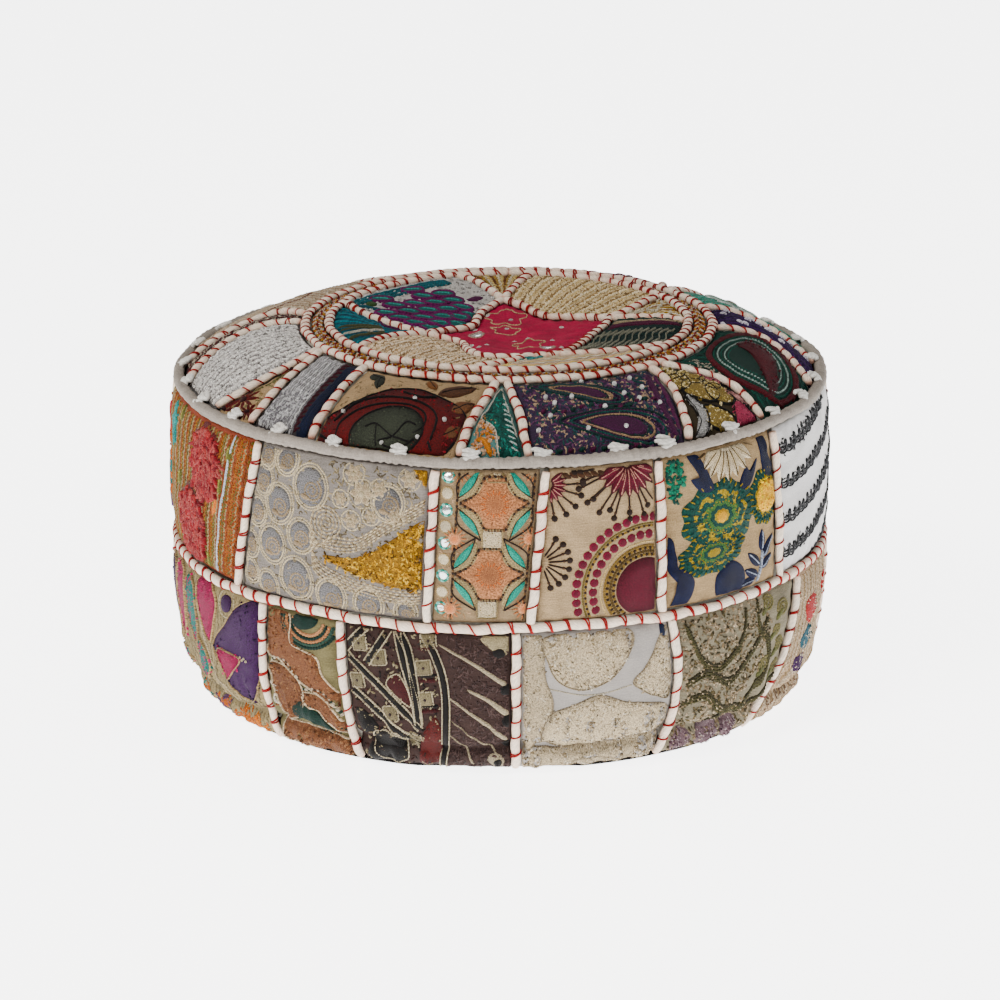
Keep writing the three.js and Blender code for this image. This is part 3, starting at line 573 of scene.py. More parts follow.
# ---------------------------------------------------------------- embroidery
class Embroidery:
    """Stitched work on one patch. Everything is drawn in the patch's flat chart and then laid on it."""
    SECTION = np.array([(-1, -0.55), (-0.8, 0.55), (-0.25, 1), (0.35, 0.97), (0.85, 0.5), (1, -0.55)])

    def __init__(self, patch):
        self.patch = patch
        self.parts = {}
        self.draw = np.random.default_rng(patch.seed)

    def add(self, kind, p, height, faces, tint, thread):
        self.parts.setdefault(kind, []).append((p, height, faces, tint, thread))

    def tone(self, color):
        """A thread colour, a little different each time it is used."""
        base = linear(color) if isinstance(color, str) else np.asarray(color, float)
        vary = 1 + self.draw.normal(0, 0.1, (1, 1))
        return np.clip(base * vary, 0, 1)

    def stroke(self, path, width=1.2, color="#ffffff", height=None, bead=0, second=None,
               step=None, margin=MARGIN):
        """A laid thread or cord. bead makes it a row of chain stitches of that length, and width may be
        a function of the way along, from 0 to 1."""
        step = step or (bead / 4 if bead else max(1.6, 1.5 * (width if np.isscalar(width) else 2)))
        path, at = resample(path, step)
        keep = self.patch.within(path) > margin
        edges = np.flatnonzero(np.diff(np.concatenate([[0], keep.astype(int), [0]])))
        for start, stop in zip(edges[::2], edges[1::2]):
            if stop - start >= 3:
                self.laid(path[start:stop], at[start:stop], at[-1], width, color, height, bead, second)

    def laid(self, path, at, length, width, color, height, bead, second):
        n = len(path)
        half = np.full(n, float(width)) if np.isscalar(width) else np.asarray(width(at / length), float)
        tall = (0.8 * half if np.isscalar(width) else np.minimum(0.5 * half + 0.4, 1.6)) if height is None \
            else np.full(n, float(height))
        tint = np.repeat(self.tone(color), n, 0)
        if bead:
            puff = np.abs(np.sin(math.pi * at / bead)) ** 0.7
            half = half * (0.45 + 0.55 * puff)
            tall = tall * (0.35 + 0.65 * puff)
            if second is not None:
                odd = (at // bead).astype(int) % 2 == 1
                tint[odd] = self.tone(second)
        ends = np.minimum(np.arange(n), np.arange(n)[::-1])
        half = half * np.where(ends == 0, 0.35, 1)
        tall = tall * np.where(ends == 0, 0.35, 1)
        ahead = np.gradient(path, axis=0)
        ahead /= np.maximum(np.linalg.norm(ahead, axis=1, keepdims=True), 1e-9)
        across = np.stack([ahead[:, 1], -ahead[:, 0]], -1)
        section = self.SECTION
        p = path[:, None] + across[:, None] * (section[:, 0] * half[:, None])[..., None]
        h = section[:, 1] * np.where(section[:, 1] > 0, tall[:, None], 1.0)
        thread = np.stack([np.repeat(at[:, None], 6, 1), section[:, 0] * half[:, None] + at[:, None] * 0.5,
                           np.zeros((n, 6))], -1)
        self.add("yarn", p.reshape(-1, 2), h.ravel(), tube_faces(n, 6), np.repeat(tint, 6, 0),
                 thread.reshape(-1, 3))

    def fill(self, centre, outline, color, edge=None, height=1.2, grain=0.0, kind="yarn", rings=5):
        """A filled shape round a centre. outline holds its edge points, and grain the angle of its
        stitches, or None where they run out from the centre."""
        outline, centre = np.asarray(outline, float), np.asarray(centre, float)
        ahead = np.roll(outline, -1, 0)
        if (outline[:, 0] * ahead[:, 1] - outline[:, 1] * ahead[:, 0]).sum() < 0:
            outline = outline[::-1]
        inner = self.patch.within(outline) > MARGIN
        if inner.mean() < 0.35 or self.patch.within(centre) < MARGIN:
            return
        n = len(outline)
        steps = np.linspace(0.12, 1, rings)
        p = centre + (outline - centre) * steps[:, None, None]
        p = self.patch.tucked(p, MARGIN)
        raised = max(height - 1.2, 0)
        h = np.repeat((raised + min(height, 1.2) * (1 - steps ** 3) + 0.25)[:, None], n, 1)
        p = np.concatenate([p, p[-1:]], 0)
        h = np.concatenate([h, np.full((1, n), -0.55)], 0)
        offset = p - centre
        if grain is None:
            size = np.hypot(*np.moveaxis(offset, -1, 0))
            turn = np.arctan2(offset[..., 1], offset[..., 0])
            thread = np.stack([size, turn * 9, 0 * size], -1)
        else:
            spun = turned(offset, -grain)
            thread = np.concatenate([spun, np.zeros((*spun.shape[:-1], 1))], -1)
        one = self.tone(color)
        two = self.tone(edge) if edge is not None else one
        mix = np.append(steps, 1)[:, None, None] ** 2
        tint = one * (1 - mix) + two * mix + np.zeros((rings + 1, n, 3))
        index = np.arange((rings + 1) * n).reshape(rings + 1, n)
        onward = np.roll(index, -1, 1)
        quads = np.stack([index[:-1], index[1:], onward[1:], onward[:-1]], -1).reshape(-1, 4).tolist()
        quads += [index[0].tolist(), index[-1].tolist()[::-1]]
        self.add(kind, p.reshape(-1, 2), h.ravel(), quads, tint.reshape(-1, 3), thread.reshape(-1, 3))

    def disc(self, centre, radius, color, edge=None, height=1.0, kind="yarn", sides=16, grain=None):
        turn = np.linspace(0, 2 * math.pi, sides + 1)[:-1]
        ring = np.stack([np.cos(turn), np.sin(turn)], -1) * radius
        self.fill(centre, centre + ring, color, edge, height, grain, kind, rings=3)

    def leaf(self, start, end, width, color, vein=None, edge=None, bend=0.0, height=1.3):
        """A pointed leaf or petal between two chart points."""
        start, end = np.asarray(start, float), np.asarray(end, float)
        t = np.linspace(0, 1, 13)
        along = end - start
        side = np.array([-along[1], along[0]])
        spine = start + along * t[:, None] + side * (bend * np.sin(math.pi * t))[:, None]
        length = math.hypot(*along)
        half = width / 2 * np.sin(math.pi * t ** 0.8) ** 0.8
        left = spine + side / length * half[:, None]
        right = spine - side / length * half[:, None]
        outline = np.concatenate([left, right[-2:0:-1]])
        self.fill(spine[6], outline, color, edge, height, math.degrees(math.atan2(along[1], along[0])) + 50)
        if vein:
            self.stroke(spine[1:-1], 0.7, vein, height=height + 0.9)

    def ring(self, centre, radius, width, color, bead=0, second=None, arc=(0, 360)):
        turn = np.radians(np.linspace(*arc, max(10, int(radius * 2))))
        path = np.asarray(centre) + np.stack([np.cos(turn), np.sin(turn)], -1) * radius
        self.stroke(path, width, color, bead=bead, second=second)

    def spiral(self, centre, radius, turns, width, color, bead=0, second=None, start=0.0):
        core = 0.12
        t = np.linspace(0, 1, int(24 * turns))
        turn = 2 * math.pi * turns * t + math.radians(start)
        path = np.asarray(centre) + np.stack([np.cos(turn), np.sin(turn)], -1) * (
            radius * (core + (1 - core) * t))[:, None]
        self.stroke(path, width, color, bead=bead, second=second)

    def flower(self, centre, radius, petals, color, edge, heart, heart_color, start=0.0, fat=1.0,
               height=1.4):
        """A flower of pointed petals round a filled heart."""
        centre = np.asarray(centre, float)
        width = 2 * math.pi * (radius * 0.6) / petals * fat
        for k in range(petals):
            turn = math.radians(start + 360 * k / petals)
            out = np.array([math.cos(turn), math.sin(turn)])
            self.leaf(centre + out * heart * 0.6, centre + out * radius, width, color, edge=edge,
                      height=height)
        self.disc(centre, heart, heart_color, height=height + 0.9)

    def sequin(self, centre, radius=2.2, color="#e8eef0"):
        """A small metallic disc with a bead of thread in the middle."""
        self.disc(centre, radius, color, height=0.5, kind="metal", sides=10)
        self.disc(centre, radius * 0.3, "#cfc8b8", height=1.3, sides=6)

    def mirror(self, centre, radius=5.0, rim="#cdbb9a", rim_two=None):
        """A stitched-down mirror, held by a ring of chain stitch."""
        turn = np.linspace(0, 2 * math.pi, 19)[:-1]
        ring = np.stack([np.cos(turn), np.sin(turn)], -1) * radius
        self.fill(centre, np.asarray(centre) + ring, "#ffffff", height=0.3, kind="mirror", rings=3)
        self.ring(centre, radius + 0.7, 1.2, rim, bead=3.2, second=rim_two)

    def rows(self, color, count=12, width=1.2, wiggle=1.4, wave=5.0, across=False, span=(0.04, 0.96),
             bead=0):
        """Couched threads side by side, wandering a little, from one end of the patch to the other."""
        for k in range(count):
            c = span[0] + (span[1] - span[0]) * (k + 0.5) / count
            t = np.linspace(0.03, 0.97, 90)
            path = self.patch.at(t, c + 0 * t) if across else self.patch.at(c + 0 * t, t)
            path, at = resample(path, 1.6)
            ahead = np.gradient(path, axis=0)
            ahead /= np.linalg.norm(ahead, axis=1, keepdims=True)
            phase = 2 * math.pi * at / wave + self.draw.uniform(0, 6)
            drift = wiggle * np.sin(phase + 1.5 * np.sin(phase * 0.23))
            path = path + np.stack([-ahead[:, 1], ahead[:, 0]], -1) * drift[:, None]
            self.stroke(path, width, color, step=1.6, bead=bead)

    def finish(self):
        """The collected stitches as one object, with yarn, metal thread and mirrors as its materials."""
        if not self.parts:
            return []
        kinds = [kind for kind in ("yarn", "metal", "mirror") if kind in self.parts]
        faces, base, which = [], 0, []
        parts = []
        for index, kind in enumerate(kinds):
            for part in self.parts[kind]:
                faces += [[i + base for i in face] for face in part[2]]
                which += [index] * len(part[2])
                base += len(part[0])
                parts.append(part)
        p, height, tint, thread = (np.concatenate([part[k] for part in parts]) for k in (0, 1, 3, 4))
        materials = {"yarn": YARN, "metal": METAL_THREAD, "mirror": MIRROR}
        made = make_object(self.patch.name + "_embroidery", self.patch.place_on(p, height), faces,
                           materials[kinds[0]], tint=tint, thread=thread)
        for kind in kinds[1:]:
            made.data.materials.append(materials[kind])
        made.data.polygons.foreach_set("material_index", which)
        return [made]


# ---------------------------------------------------------------- cords, piping and tacks
class Tubes:
    """Round or flattened cords, gathered into one mesh."""

    def __init__(self, sides):
        self.ring = np.linspace(0, 2 * math.pi, sides + 1)[:-1]
        self.points, self.faces, self.tints, self.threads, self.count = [], [], [], [], 0

    def add(self, path, up, half_width, half_height, tint):
        n, sides = len(path), len(self.ring)
        ahead = np.gradient(path, axis=0)
        ahead /= np.maximum(np.linalg.norm(ahead, axis=1, keepdims=True), 1e-9)
        across = np.cross(ahead, up)
        across /= np.maximum(np.linalg.norm(across, axis=1, keepdims=True), 1e-9)
        rise = np.cross(across, ahead)
        wide = np.broadcast_to(half_width, (n,))[:, None, None]
        tall = np.broadcast_to(half_height, (n,))[:, None, None]
        c, s = np.cos(self.ring)[None, :, None], np.sin(self.ring)[None, :, None]
        p = path[:, None] + across[:, None] * c * wide + rise[:, None] * s * tall
        at = np.concatenate([[0], np.cumsum(np.linalg.norm(np.diff(path, axis=0), axis=1))])
        thread = np.stack([np.repeat(at[:, None], sides, 1),
                           self.ring * wide[:, :, 0] + at[:, None] * 0.6, np.zeros((n, sides))], -1)
        self.points.append(p.reshape(-1, 3))
        self.faces += [[i + self.count for i in face] for face in tube_faces(n, sides)]
        self.tints.append(np.repeat(np.broadcast_to(tint, (n, 3)), sides, 0))
        self.threads.append(thread.reshape(-1, 3))
        self.count += n * sides

    def finish(self, name, material):
        made = make_object(name, np.concatenate(self.points), self.faces, material,
                           tint=np.concatenate(self.tints), thread=np.concatenate(self.threads))
        weld(made)
        return made


def lifted(surface, chart, lift):
    base = surface(chart, np.full(len(chart), float(lift)))
    up = surface(chart, np.full(len(chart), float(lift) + 1)) - base
    return base, up


def seam_cord(cords, stitches, surface, chart, pitch, width=CORD_WIDTH, pinch=1.0):
    """Lays a soft cord on a seam, drawn in by slanting red stitches."""
    chart, at = resample(chart, 2.0)
    pitch = at[-1] / max(1, round(at[-1] / pitch))
    base, up = lifted(surface, chart, -1.2)
    ahead = np.gradient(base, axis=0)
    ahead /= np.linalg.norm(ahead, axis=1, keepdims=True)
    across = np.cross(ahead, up)
    sway = 0.5 * np.sin(at / 9 + rng.uniform(0, 6)) + 0.35 * np.sin(at / 3.7 + rng.uniform(0, 6))
    puff = 1 - pinch * (1 - np.abs(np.sin(math.pi * at / pitch)) ** 0.6)
    uneven = 1 + 0.07 * np.sin(at / 13 + rng.uniform(0, 6))
    path = base + across * sway[:, None] + up * (0.5 * puff)[:, None]
    # The cord's tint shifts from cream to a darker pink where the stitches pinch it, and drifts slowly
    # along its length.
    cream, blush = linear("#e9d7c3"), linear("#d2917c")
    mottling = np.clip((1 - puff) * 0.75 + 0.12 * np.sin(at / 31 + rng.uniform(0, 6)), 0, 1)[:, None]
    cords.add(path, up, width * uneven * (0.74 + 0.26 * puff), 3.6 * uneven * (0.66 + 0.34 * puff),
              cream * (1 - mottling) + blush * mottling)
    red = linear("#a51d1e")
    for k in range(1, round(at[-1] / pitch)):
        i = min(int(round(k * pitch / 2.0)), len(at) - 2)
        for strand in range(2 if rng.random() < 0.45 else 1):
            turn = np.radians(np.linspace(-112, 112, 9))
            slant = rng.normal(3.2, 1.0) - 1.8 * strand
            wide = width * uneven[i] * (0.74 + 0.26 * puff[i]) + 0.5
            tall = 3.6 * uneven[i] * (0.66 + 0.34 * puff[i]) + 0.5
            loop = (path[i] + np.outer(np.sin(turn) * wide, across[i])
                    + np.outer(np.cos(turn) * tall, up[i])
                    + np.outer(turn / 1.95 * slant + strand * 1.5, ahead[i]))
            stitches.add(loop, loop - path[i], 0.78, 0.78, red * rng.uniform(0.75, 1.2))


def seam_line(seam, z0, z1):
    t = np.linspace(0, 1, 40)
    return np.stack([np.radians(seam_angle(seam, t)) * ARC_RADIUS, z0 + (z1 - z0) * t], -1)


def build_cords():
    side, side_red = Tubes(10), Tubes(6)
    for seam in UPPER_SEAMS.values():
        seam_cord(side, side_red, on_side, seam_line(seam, 289, MID_SEAM + 5), 17, pinch=0.4)
    for seam in LOWER_SEAMS.values():
        line = seam_line(seam, MID_SEAM - 5, 6)
        seam_cord(side, side_red, on_side, line, 17, pinch=0.4)
    round_way = np.radians(np.linspace(-180, 180, 361)) * ARC_RADIUS
    seam_cord(side, side_red, on_side, np.stack([round_way, MID_SEAM + 1.2 * np.sin(round_way / 40)], -1),
              17, 4.5, 0.55)
    outer, outer_red = Tubes(10), Tubes(6)
    for seam in OUTER_SEAMS.values():
        radius = np.linspace(RING_OUTER + 4, SEAT_EDGE - 1, 40)
        t = (radius - RING_OUTER) / (SEAT_EDGE - RING_OUTER)
        seam_cord(outer, outer_red, on_seat, seat_xy(seam_angle(seam, t), radius), 14)
    angles = np.linspace(-180, 180, 361)
    seam_cord(outer, outer_red, on_seat, seat_xy(angles, np.full(361, float(RING_OUTER))), 13, 4.3)
    centre, centre_red = Tubes(10), Tubes(6)
    seam_cord(centre, centre_red, on_seat, seat_xy(angles, np.full(361, float(RING_INNER))), 13, 4.3)
    for low, high in INNER_SEAMS.values():
        t = np.linspace(0, 1, 40)
        start = star_radius(low)
        radius = start + 3 + (RING_INNER - 7 - start) * t
        seam_cord(centre, centre_red, on_seat, seat_xy(low + (high - low) * t, radius), 12, 3.9)
    angles = np.linspace(-177, 183, 361)
    seam_cord(centre, centre_red, on_seat, seat_xy(angles, star_radius(angles)), 12, 3.9)
    nets = (("side_seam_cords", side, side_red), ("seat_outer_seam_cords", outer, outer_red),
            ("seat_centre_seam_cords", centre, centre_red))
    for name, cords, stitches in nets:
        laid = cords.finish(name + "_cotton", CORD)
        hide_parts(name)
        stitches.finish(name + "_stitches", SILK)


def build_piping():
    """The cloth-covered edge cord, finely wrinkled, and the yarn tacks that hold it."""
    sides = 20
    angle = np.linspace(0, 2 * math.pi, 1081)[:-1]
    ring = np.linspace(0, 2 * math.pi, sides + 1)[:-1]
    turn, spin = np.meshgrid(angle, ring, indexing="ij")
    s = turn * PIPING_RING
    wrinkle = (0.7 * np.sin(s / 1.15 + 1.2 * np.sin(spin) + 2 * np.sin(s / 41))
               * (0.6 + 0.4 * np.sin(s / 17 + spin)) + 0.3 * np.sin(s / 2.9 + 2 * spin + np.sin(s / 23)))
    thick = PIPING_RADIUS + wrinkle + 0.25 * np.sin(s / 60)
    sway = 0.7 * np.sin(s / 37) + 0.5 * np.sin(s / 15.3)
    radius = PIPING_RING + thick * np.cos(spin) + 0.5 * sway
    points = np.stack([radius * np.sin(turn), -radius * np.cos(turn),
                       PIPING_HEIGHT + thick * np.sin(spin) + sway], -1)
    index = np.arange(len(angle) * sides).reshape(len(angle), sides)
    ahead, up = np.roll(index, -1, 0), np.roll(index, -1, 1)
    both = np.roll(ahead, -1, 1)
    faces = np.stack([index, ahead, both, up], -1).reshape(-1, 4)
    chart = np.stack([s, thick * spin, 0 * s], -1).reshape(-1, 3)
    material = cloth_material("piping_cotton", "#a89e93", shade=0.7, thread=0.9, weave=0.35, slub=0.3)
    made = make_object("seat_edge_piping_cloth", points.reshape(-1, 3), faces, material, chart=chart)
    weld(made)
    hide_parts("seat_edge_piping")
    tacks = Tubes(9)
    white = linear("#e9e5dd")
    for k in range(29):
        middle = -5.2 + 360 / 29 * k + rng.normal(0, 0.8)
        for strand in range(4):
            t = np.linspace(-1, 1, 11)
            at = np.radians(middle + (1.45 + rng.normal(0, 0.15)) * t + rng.normal(0, 0.15))
            radius = 286.5 + 2.6 * strand + rng.normal(0, 0.5) + 1.2 * np.sin(2.5 * t + strand)
            height = follow(SEAT_PROFILE, radius) + 1.5 + 1.0 * (strand in (1, 2)) + 0.8 * np.cos(t)
            path = np.stack([radius * np.sin(at), -radius * np.cos(at), height], -1)
            size = 2.5 * np.cos(t * 1.25) ** 0.45 + 0.15 * np.sin(9 * t)
            tacks.add(path, np.array([[0, 0, 1.0]]) + 0 * path, size, size, white * rng.uniform(0.92, 1.0))
    tacks.finish("seat_edge_piping_tacks", CORD)


# ---------------------------------------------------------------- base, zip and filling
def shell(name, outside, inside, material):
    """A closed sheet between two grids of points."""
    rows, columns = outside.shape[:2]
    count = rows * columns
    faces = grid_faces(rows, columns)
    index = np.arange(count).reshape(rows, columns)
    rim = np.concatenate([index[0, :-1], index[:-1, -1], index[-1, :0:-1], index[:0:-1, 0]])
    walls = np.stack([rim, rim + count, np.roll(rim, -1) + count, np.roll(rim, -1)], -1)
    points = np.concatenate([outside.reshape(-1, 3), inside.reshape(-1, 3)])
    made = make_object(name, points, np.concatenate([faces, faces[:, ::-1] + count, walls[:, ::-1]]),
                       material, chart=points * np.array([1, 1, 0]))
    weld(made)
    return made


def build_base():
    canvas = cloth_material("base_canvas", "#2f2b29", shade=0.7, thread=1.6, weave=0.7)
    for name, side, edge in (("base_panel_main", -1, 103.0), ("base_panel_flap", 1, 117.0)):
        reach = 261.5
        first = -reach if side < 0 else reach
        y = first + (edge + side * 3 - first) * np.sin(np.linspace(0.05, math.pi / 2, 70)) ** 1.2
        x_half = np.sqrt(np.maximum(262.0 ** 2 - y ** 2, 1))
        u = np.linspace(-1, 1, 111)
        flat = np.stack([u * x_half[:, None], y[:, None] + 0 * u, 0 * u * x_half[:, None]], -1)
        soft = 0.25 * waves(flat, 40 + side, 60)
        out, inn = flat.copy(), flat.copy()
        out[..., 2] = 0.3 + soft
        inn[..., 2] = 2.1 + soft
        hem_half = math.sqrt(262 ** 2 - edge ** 2) - 6
        for dy, z in ((1.6, 0.4), (2.7, 1.3), (3.0, 3.5), (3.0, 7.5)):
            row = np.stack([u * hem_half, edge + side * 3 - side * dy + 0 * u, z + 0 * u], -1)
            out = np.concatenate([out, row[None]])
        for dy, z in ((0.0, 2.3), (0.3, 2.7), (0.9, 4.2), (0.9, 7.5)):
            row = np.stack([u * hem_half, edge + side * 3 - side * dy + 0 * u, z + 0 * u], -1)
            inn = np.concatenate([inn, row[None]])
        made = shell(name + "_cloth", out, inn, canvas)
        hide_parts(name)


def boxes(spots, size):
    """Corner points and faces of many equal boxes."""
    corner = np.array([(x, y, z) for x in (-1, 1) for y in (-1, 1) for z in (-1, 1)]) * np.asarray(size) / 2
    faces = np.array([(0, 1, 3, 2), (4, 6, 7, 5), (0, 4, 5, 1), (2, 3, 7, 6), (0, 2, 6, 4), (1, 5, 7, 3)])
    points = (np.asarray(spots)[:, None] + corner).reshape(-1, 3)
    return points, (faces[None] + 8 * np.arange(len(spots))[:, None, None]).reshape(-1, 4)


def build_zip():
    tape_cloth = cloth_material("zip_tape", "#2b2724", shade=0.8, thread=0.9, weave=0.6, slub=0.1)
    for name, side in (("zip_tape_front", -1), ("zip_tape_back", 1)):
        x, y = np.meshgrid(np.linspace(-210, 210, 211), np.linspace(3.25, 16.15, 12) * side + 110)
        ripple = 0.12 * np.sin(x / 9) * np.sin((y - 110) / 4)
        low = np.stack([x, y, 8.12 + ripple], -1)
        high = np.stack([x, y, 8.68 + ripple], -1)
        made = shell(name + "_cloth", low, high, tape_cloth)
        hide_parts(name)
    x = np.arange(-199, 199.1, 2.5)
    left = np.stack([x, 0 * x + 108.6, 0 * x + 8.4], -1)
    right = np.stack([x + 1.25, 0 * x + 111.4, 0 * x + 8.4], -1)
    points, faces = boxes(np.concatenate([left, right[:-1]]), (1.15, 2.9, 1.9))
    spine, spine_faces = boxes([(0, 110, 8.4)], (398, 0.9, 1.1))
    made = make_object("zip_chain_teeth", np.concatenate([points, spine]),
                       np.concatenate([faces, spine_faces + len(points)]), BRASS, smooth=False)
    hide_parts("zip_chain")
    for name in ("zip_slider", "zip_pull"):
        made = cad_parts[name]
        made.data.materials.clear()
        made.data.materials.append(BRASS)


def cushion(name, bottom, inset, depth, seed, material):
    """A stuffed round pad inside the cover, turned from the cover's own profile."""
    low = [(r, bottom + 1.2 * (r / 250) ** 4) for r in np.linspace(1, 245, 16)]
    wall = [(float(follow(SIDE_PROFILE, z)) - inset, z) for z in np.linspace(bottom + 9, 278, 26)]
    top = [(r, float(follow(SEAT_PROFILE, r)) - depth) for r in np.linspace(272, 1, 26)]
    profile = np.array(low + wall + top)
    turns = np.linspace(0, 2 * math.pi, 91)[:-1]
    r, z = profile[:, 0][:, None], profile[:, 1][:, None]
    lumps = 0.006 * waves(np.stack([np.cos(turns) * 90 + 0 * r, np.sin(turns) * 90 + z], -1), seed,
                          70) - 0.012
    r = r * (1 + lumps)
    points = np.stack([r * np.sin(turns), -r * np.cos(turns), z + 0 * turns - 1.5 * (z > 280)], -1)
    index = np.arange(len(profile) * 90).reshape(len(profile), 90)
    onward = np.roll(index, -1, 1)
    faces = np.stack([index[:-1], onward[:-1], onward[1:], index[1:]], -1).reshape(-1, 4).tolist()
    faces += [index[0].tolist()[::-1], index[-1].tolist()]
    points = points.reshape(-1, 3)
    made = make_object(name, points, faces, material, chart=points)
    weld(made)
    return made


def build_filling():
    cotton = cloth_material("liner_cotton", "#d9d2c4", shade=0.85, thread=1.1)
    made = cushion("liner_cushion", 11, 9.5, 8.5, 61, cotton)
    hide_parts("liner_body", "liner_top_panel")
    fluff = cloth_material("wadding", "#e8e4da", shade=0.9, thread=6.0, sheen=0.6, roughness=0.95,
                           weave=0.2)
    made = cushion("wadding_filling", 14, 13, 12.5, 62, fluff)
    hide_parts("wadding_core")


# ---------------------------------------------------------------- what is stitched on each patch
# Places are given as (u, v) across and up the patch, or outward on the seat; sizes are millimetres.
ART = {}
CURVE_STEPS = 10             # points between two places of a curve


def art(name):
    def keep(function):
        ART[name] = function
        return function
    return keep


def curve(points, closed=False):
    """A smooth line through the points."""
    p = np.asarray(points, float)
    if closed:
        p = np.concatenate([p[-1:], p, p[:2]])
    else:
        p = np.concatenate([[2 * p[0] - p[1]], p, [2 * p[-1] - p[-2]]])
    t = np.linspace(0, 1, CURVE_STEPS, endpoint=False)[:, None]
    pieces = []
    for a, b, c, d in zip(p[:-3], p[1:-2], p[2:-1], p[3:]):
        pieces.append(0.5 * (2 * b + (c - a) * t + (2 * a - 5 * b + 4 * c - d) * t ** 2
                             + (3 * b - a - 3 * c + d) * t ** 3))
    line = np.concatenate(pieces)
    return line if closed else np.concatenate([line, p[-2:-1]])


def spots(e, places):
    """Chart points of (u, v) places."""
    uv = np.asarray(places, float)
    return e.patch.at(uv[..., 0], uv[..., 1])


def shape(e, places, color, edge=None, height=1.4, grain=40.0, outline=None, bead=0, width=1.0, soft=True):
    """A filled shape through (u, v) places, with its outline thread if one is given."""
    p = spots(e, places)
    line = curve(p, closed=True) if soft else resample(np.concatenate([p, p[:1]]), 4)[0][:-1]
    e.fill(line.mean(0), line, color, edge, height, grain)
    if outline:
        e.stroke(np.concatenate([line, line[:1]]), width, outline, height=height + 0.6, bead=bead)
    return line


def speckle(e, outline, colors, count, length=6, width=0.8, turn=1.5, lift=1.0, heading=None):
    """Short threads scattered inside a chart outline."""
    low, high = outline.min(0), outline.max(0)
    p = low + (high - low) * e.draw.random((int(count * 2.2), 2))
    p = p[edge_field(p, outline)[0] > width][:count]
    t = np.linspace(0, 1, 6)
    for k, start in enumerate(p):
        first = e.draw.uniform(0,
                               2 * math.pi) if heading is None else math.radians(heading) + e.draw.normal(0,
                                       0.35)
        bearing = first + e.draw.normal(0, turn) * t * 2
        run = np.stack([np.cos(bearing), np.sin(bearing)], -1) * length * e.draw.uniform(0.6, 1.3) / 6
        e.stroke(start + np.cumsum(run, 0), width, colors[k % len(colors)], height=lift, step=1.4)


def line(e, places, width, color, **more):
    e.stroke(curve(spots(e, places)), width, color, **more)


def ovals(centre, across, up, turn=0.0, count=28):
    t = np.linspace(0, 2 * math.pi, count + 1)[:-1]
    return np.asarray(centre) + turned(np.stack([across * np.cos(t), up * np.sin(t)], -1), turn)


def moss_all(e, colors, spacing=2.7, width=0.95, wiggle=1.5, wave=5.0):
    """Couched threads over the whole patch, in rows that follow its seams."""
    size = np.linalg.norm(spots(e, (0.0, 0.6)) - spots(e, (1.0, 0.6)))
    count = max(4, int(size / spacing / len(colors)))
    for k, color in enumerate(colors):
        shift = (k + 0.5) / len(colors) / count - 0.5 / count
        e.rows(color, count=count, width=width, wiggle=wiggle, wave=wave,
               span=(0.02 + shift, 0.98 + shift))


# Upper row
@art("coral_shaggy")
def coral_shaggy(e):
    moss_all(e, ("#9c6a34", "#7c783f", "#a8946c", "#8f4f2c"), 3.4)
    for u, v, colors in ((0.30, 0.78, ("#1f8f8a", "#2aa39a")), (0.22, 0.4, ("#1f8f8a", "#c46a2a")),
                         (0.12, 0.7, ("#b03a4a", "#c46a2a")), (0.1, 0.25, ("#7b5a8a", "#b98243"))):
        speckle(e, ovals(spots(e, (u, v)), 12, 20), colors, 90, 9, 1.3, lift=2.0, heading=90)
    for u, v, wide, tall in ((0.70, 0.73, 28, 34), (0.62, 0.27, 31, 36)):
        blob = ovals(spots(e, (u, v)), wide, tall)
        blob += 2.5 * np.stack([np.sin(np.arange(28) * 2.1), np.cos(np.arange(28) * 1.7)], -1)
        e.fill(blob.mean(0), blob, "#72282c", height=1.6)
        speckle(e, blob, ("#a03a3e", "#b04c4a", "#842a30", "#b05c56"), 420, 10, 1.35, 0.5, 3.4, heading=-85)
    for u, v in ((0.83, 0.62), (0.81, 0.50), (0.86, 0.85), (0.44, 0.5), (0.78, 0.08), (0.4, 0.93)):
        p = spots(e, (u, v))
        e.leaf(p - (0, 9), p + (2, 9), 8, "#6f7032", vein="#a9a25a")
    e.leaf(spots(e, (0.81, 0.4)), spots(e, (0.83, 0.56)), 8, "#c4701f")
    line(e, ((0.855, 0.02), (0.865, 0.5), (0.875, 0.98)), 1.5, "#b9c2cc")
    for u in (0.89, 0.985):
        line(e, ((u, 0.02), (u + 0.004, 0.5), (u, 0.98)), 1.6, "#95561a", bead=3, second="#7a6a28")
    for k in range(11):
        e.spiral(spots(e, (0.938, 0.05 + 0.09 * k)), 8.0, 2.2, 1.25, "#a05a14", bead=2.6, start=90 * k)


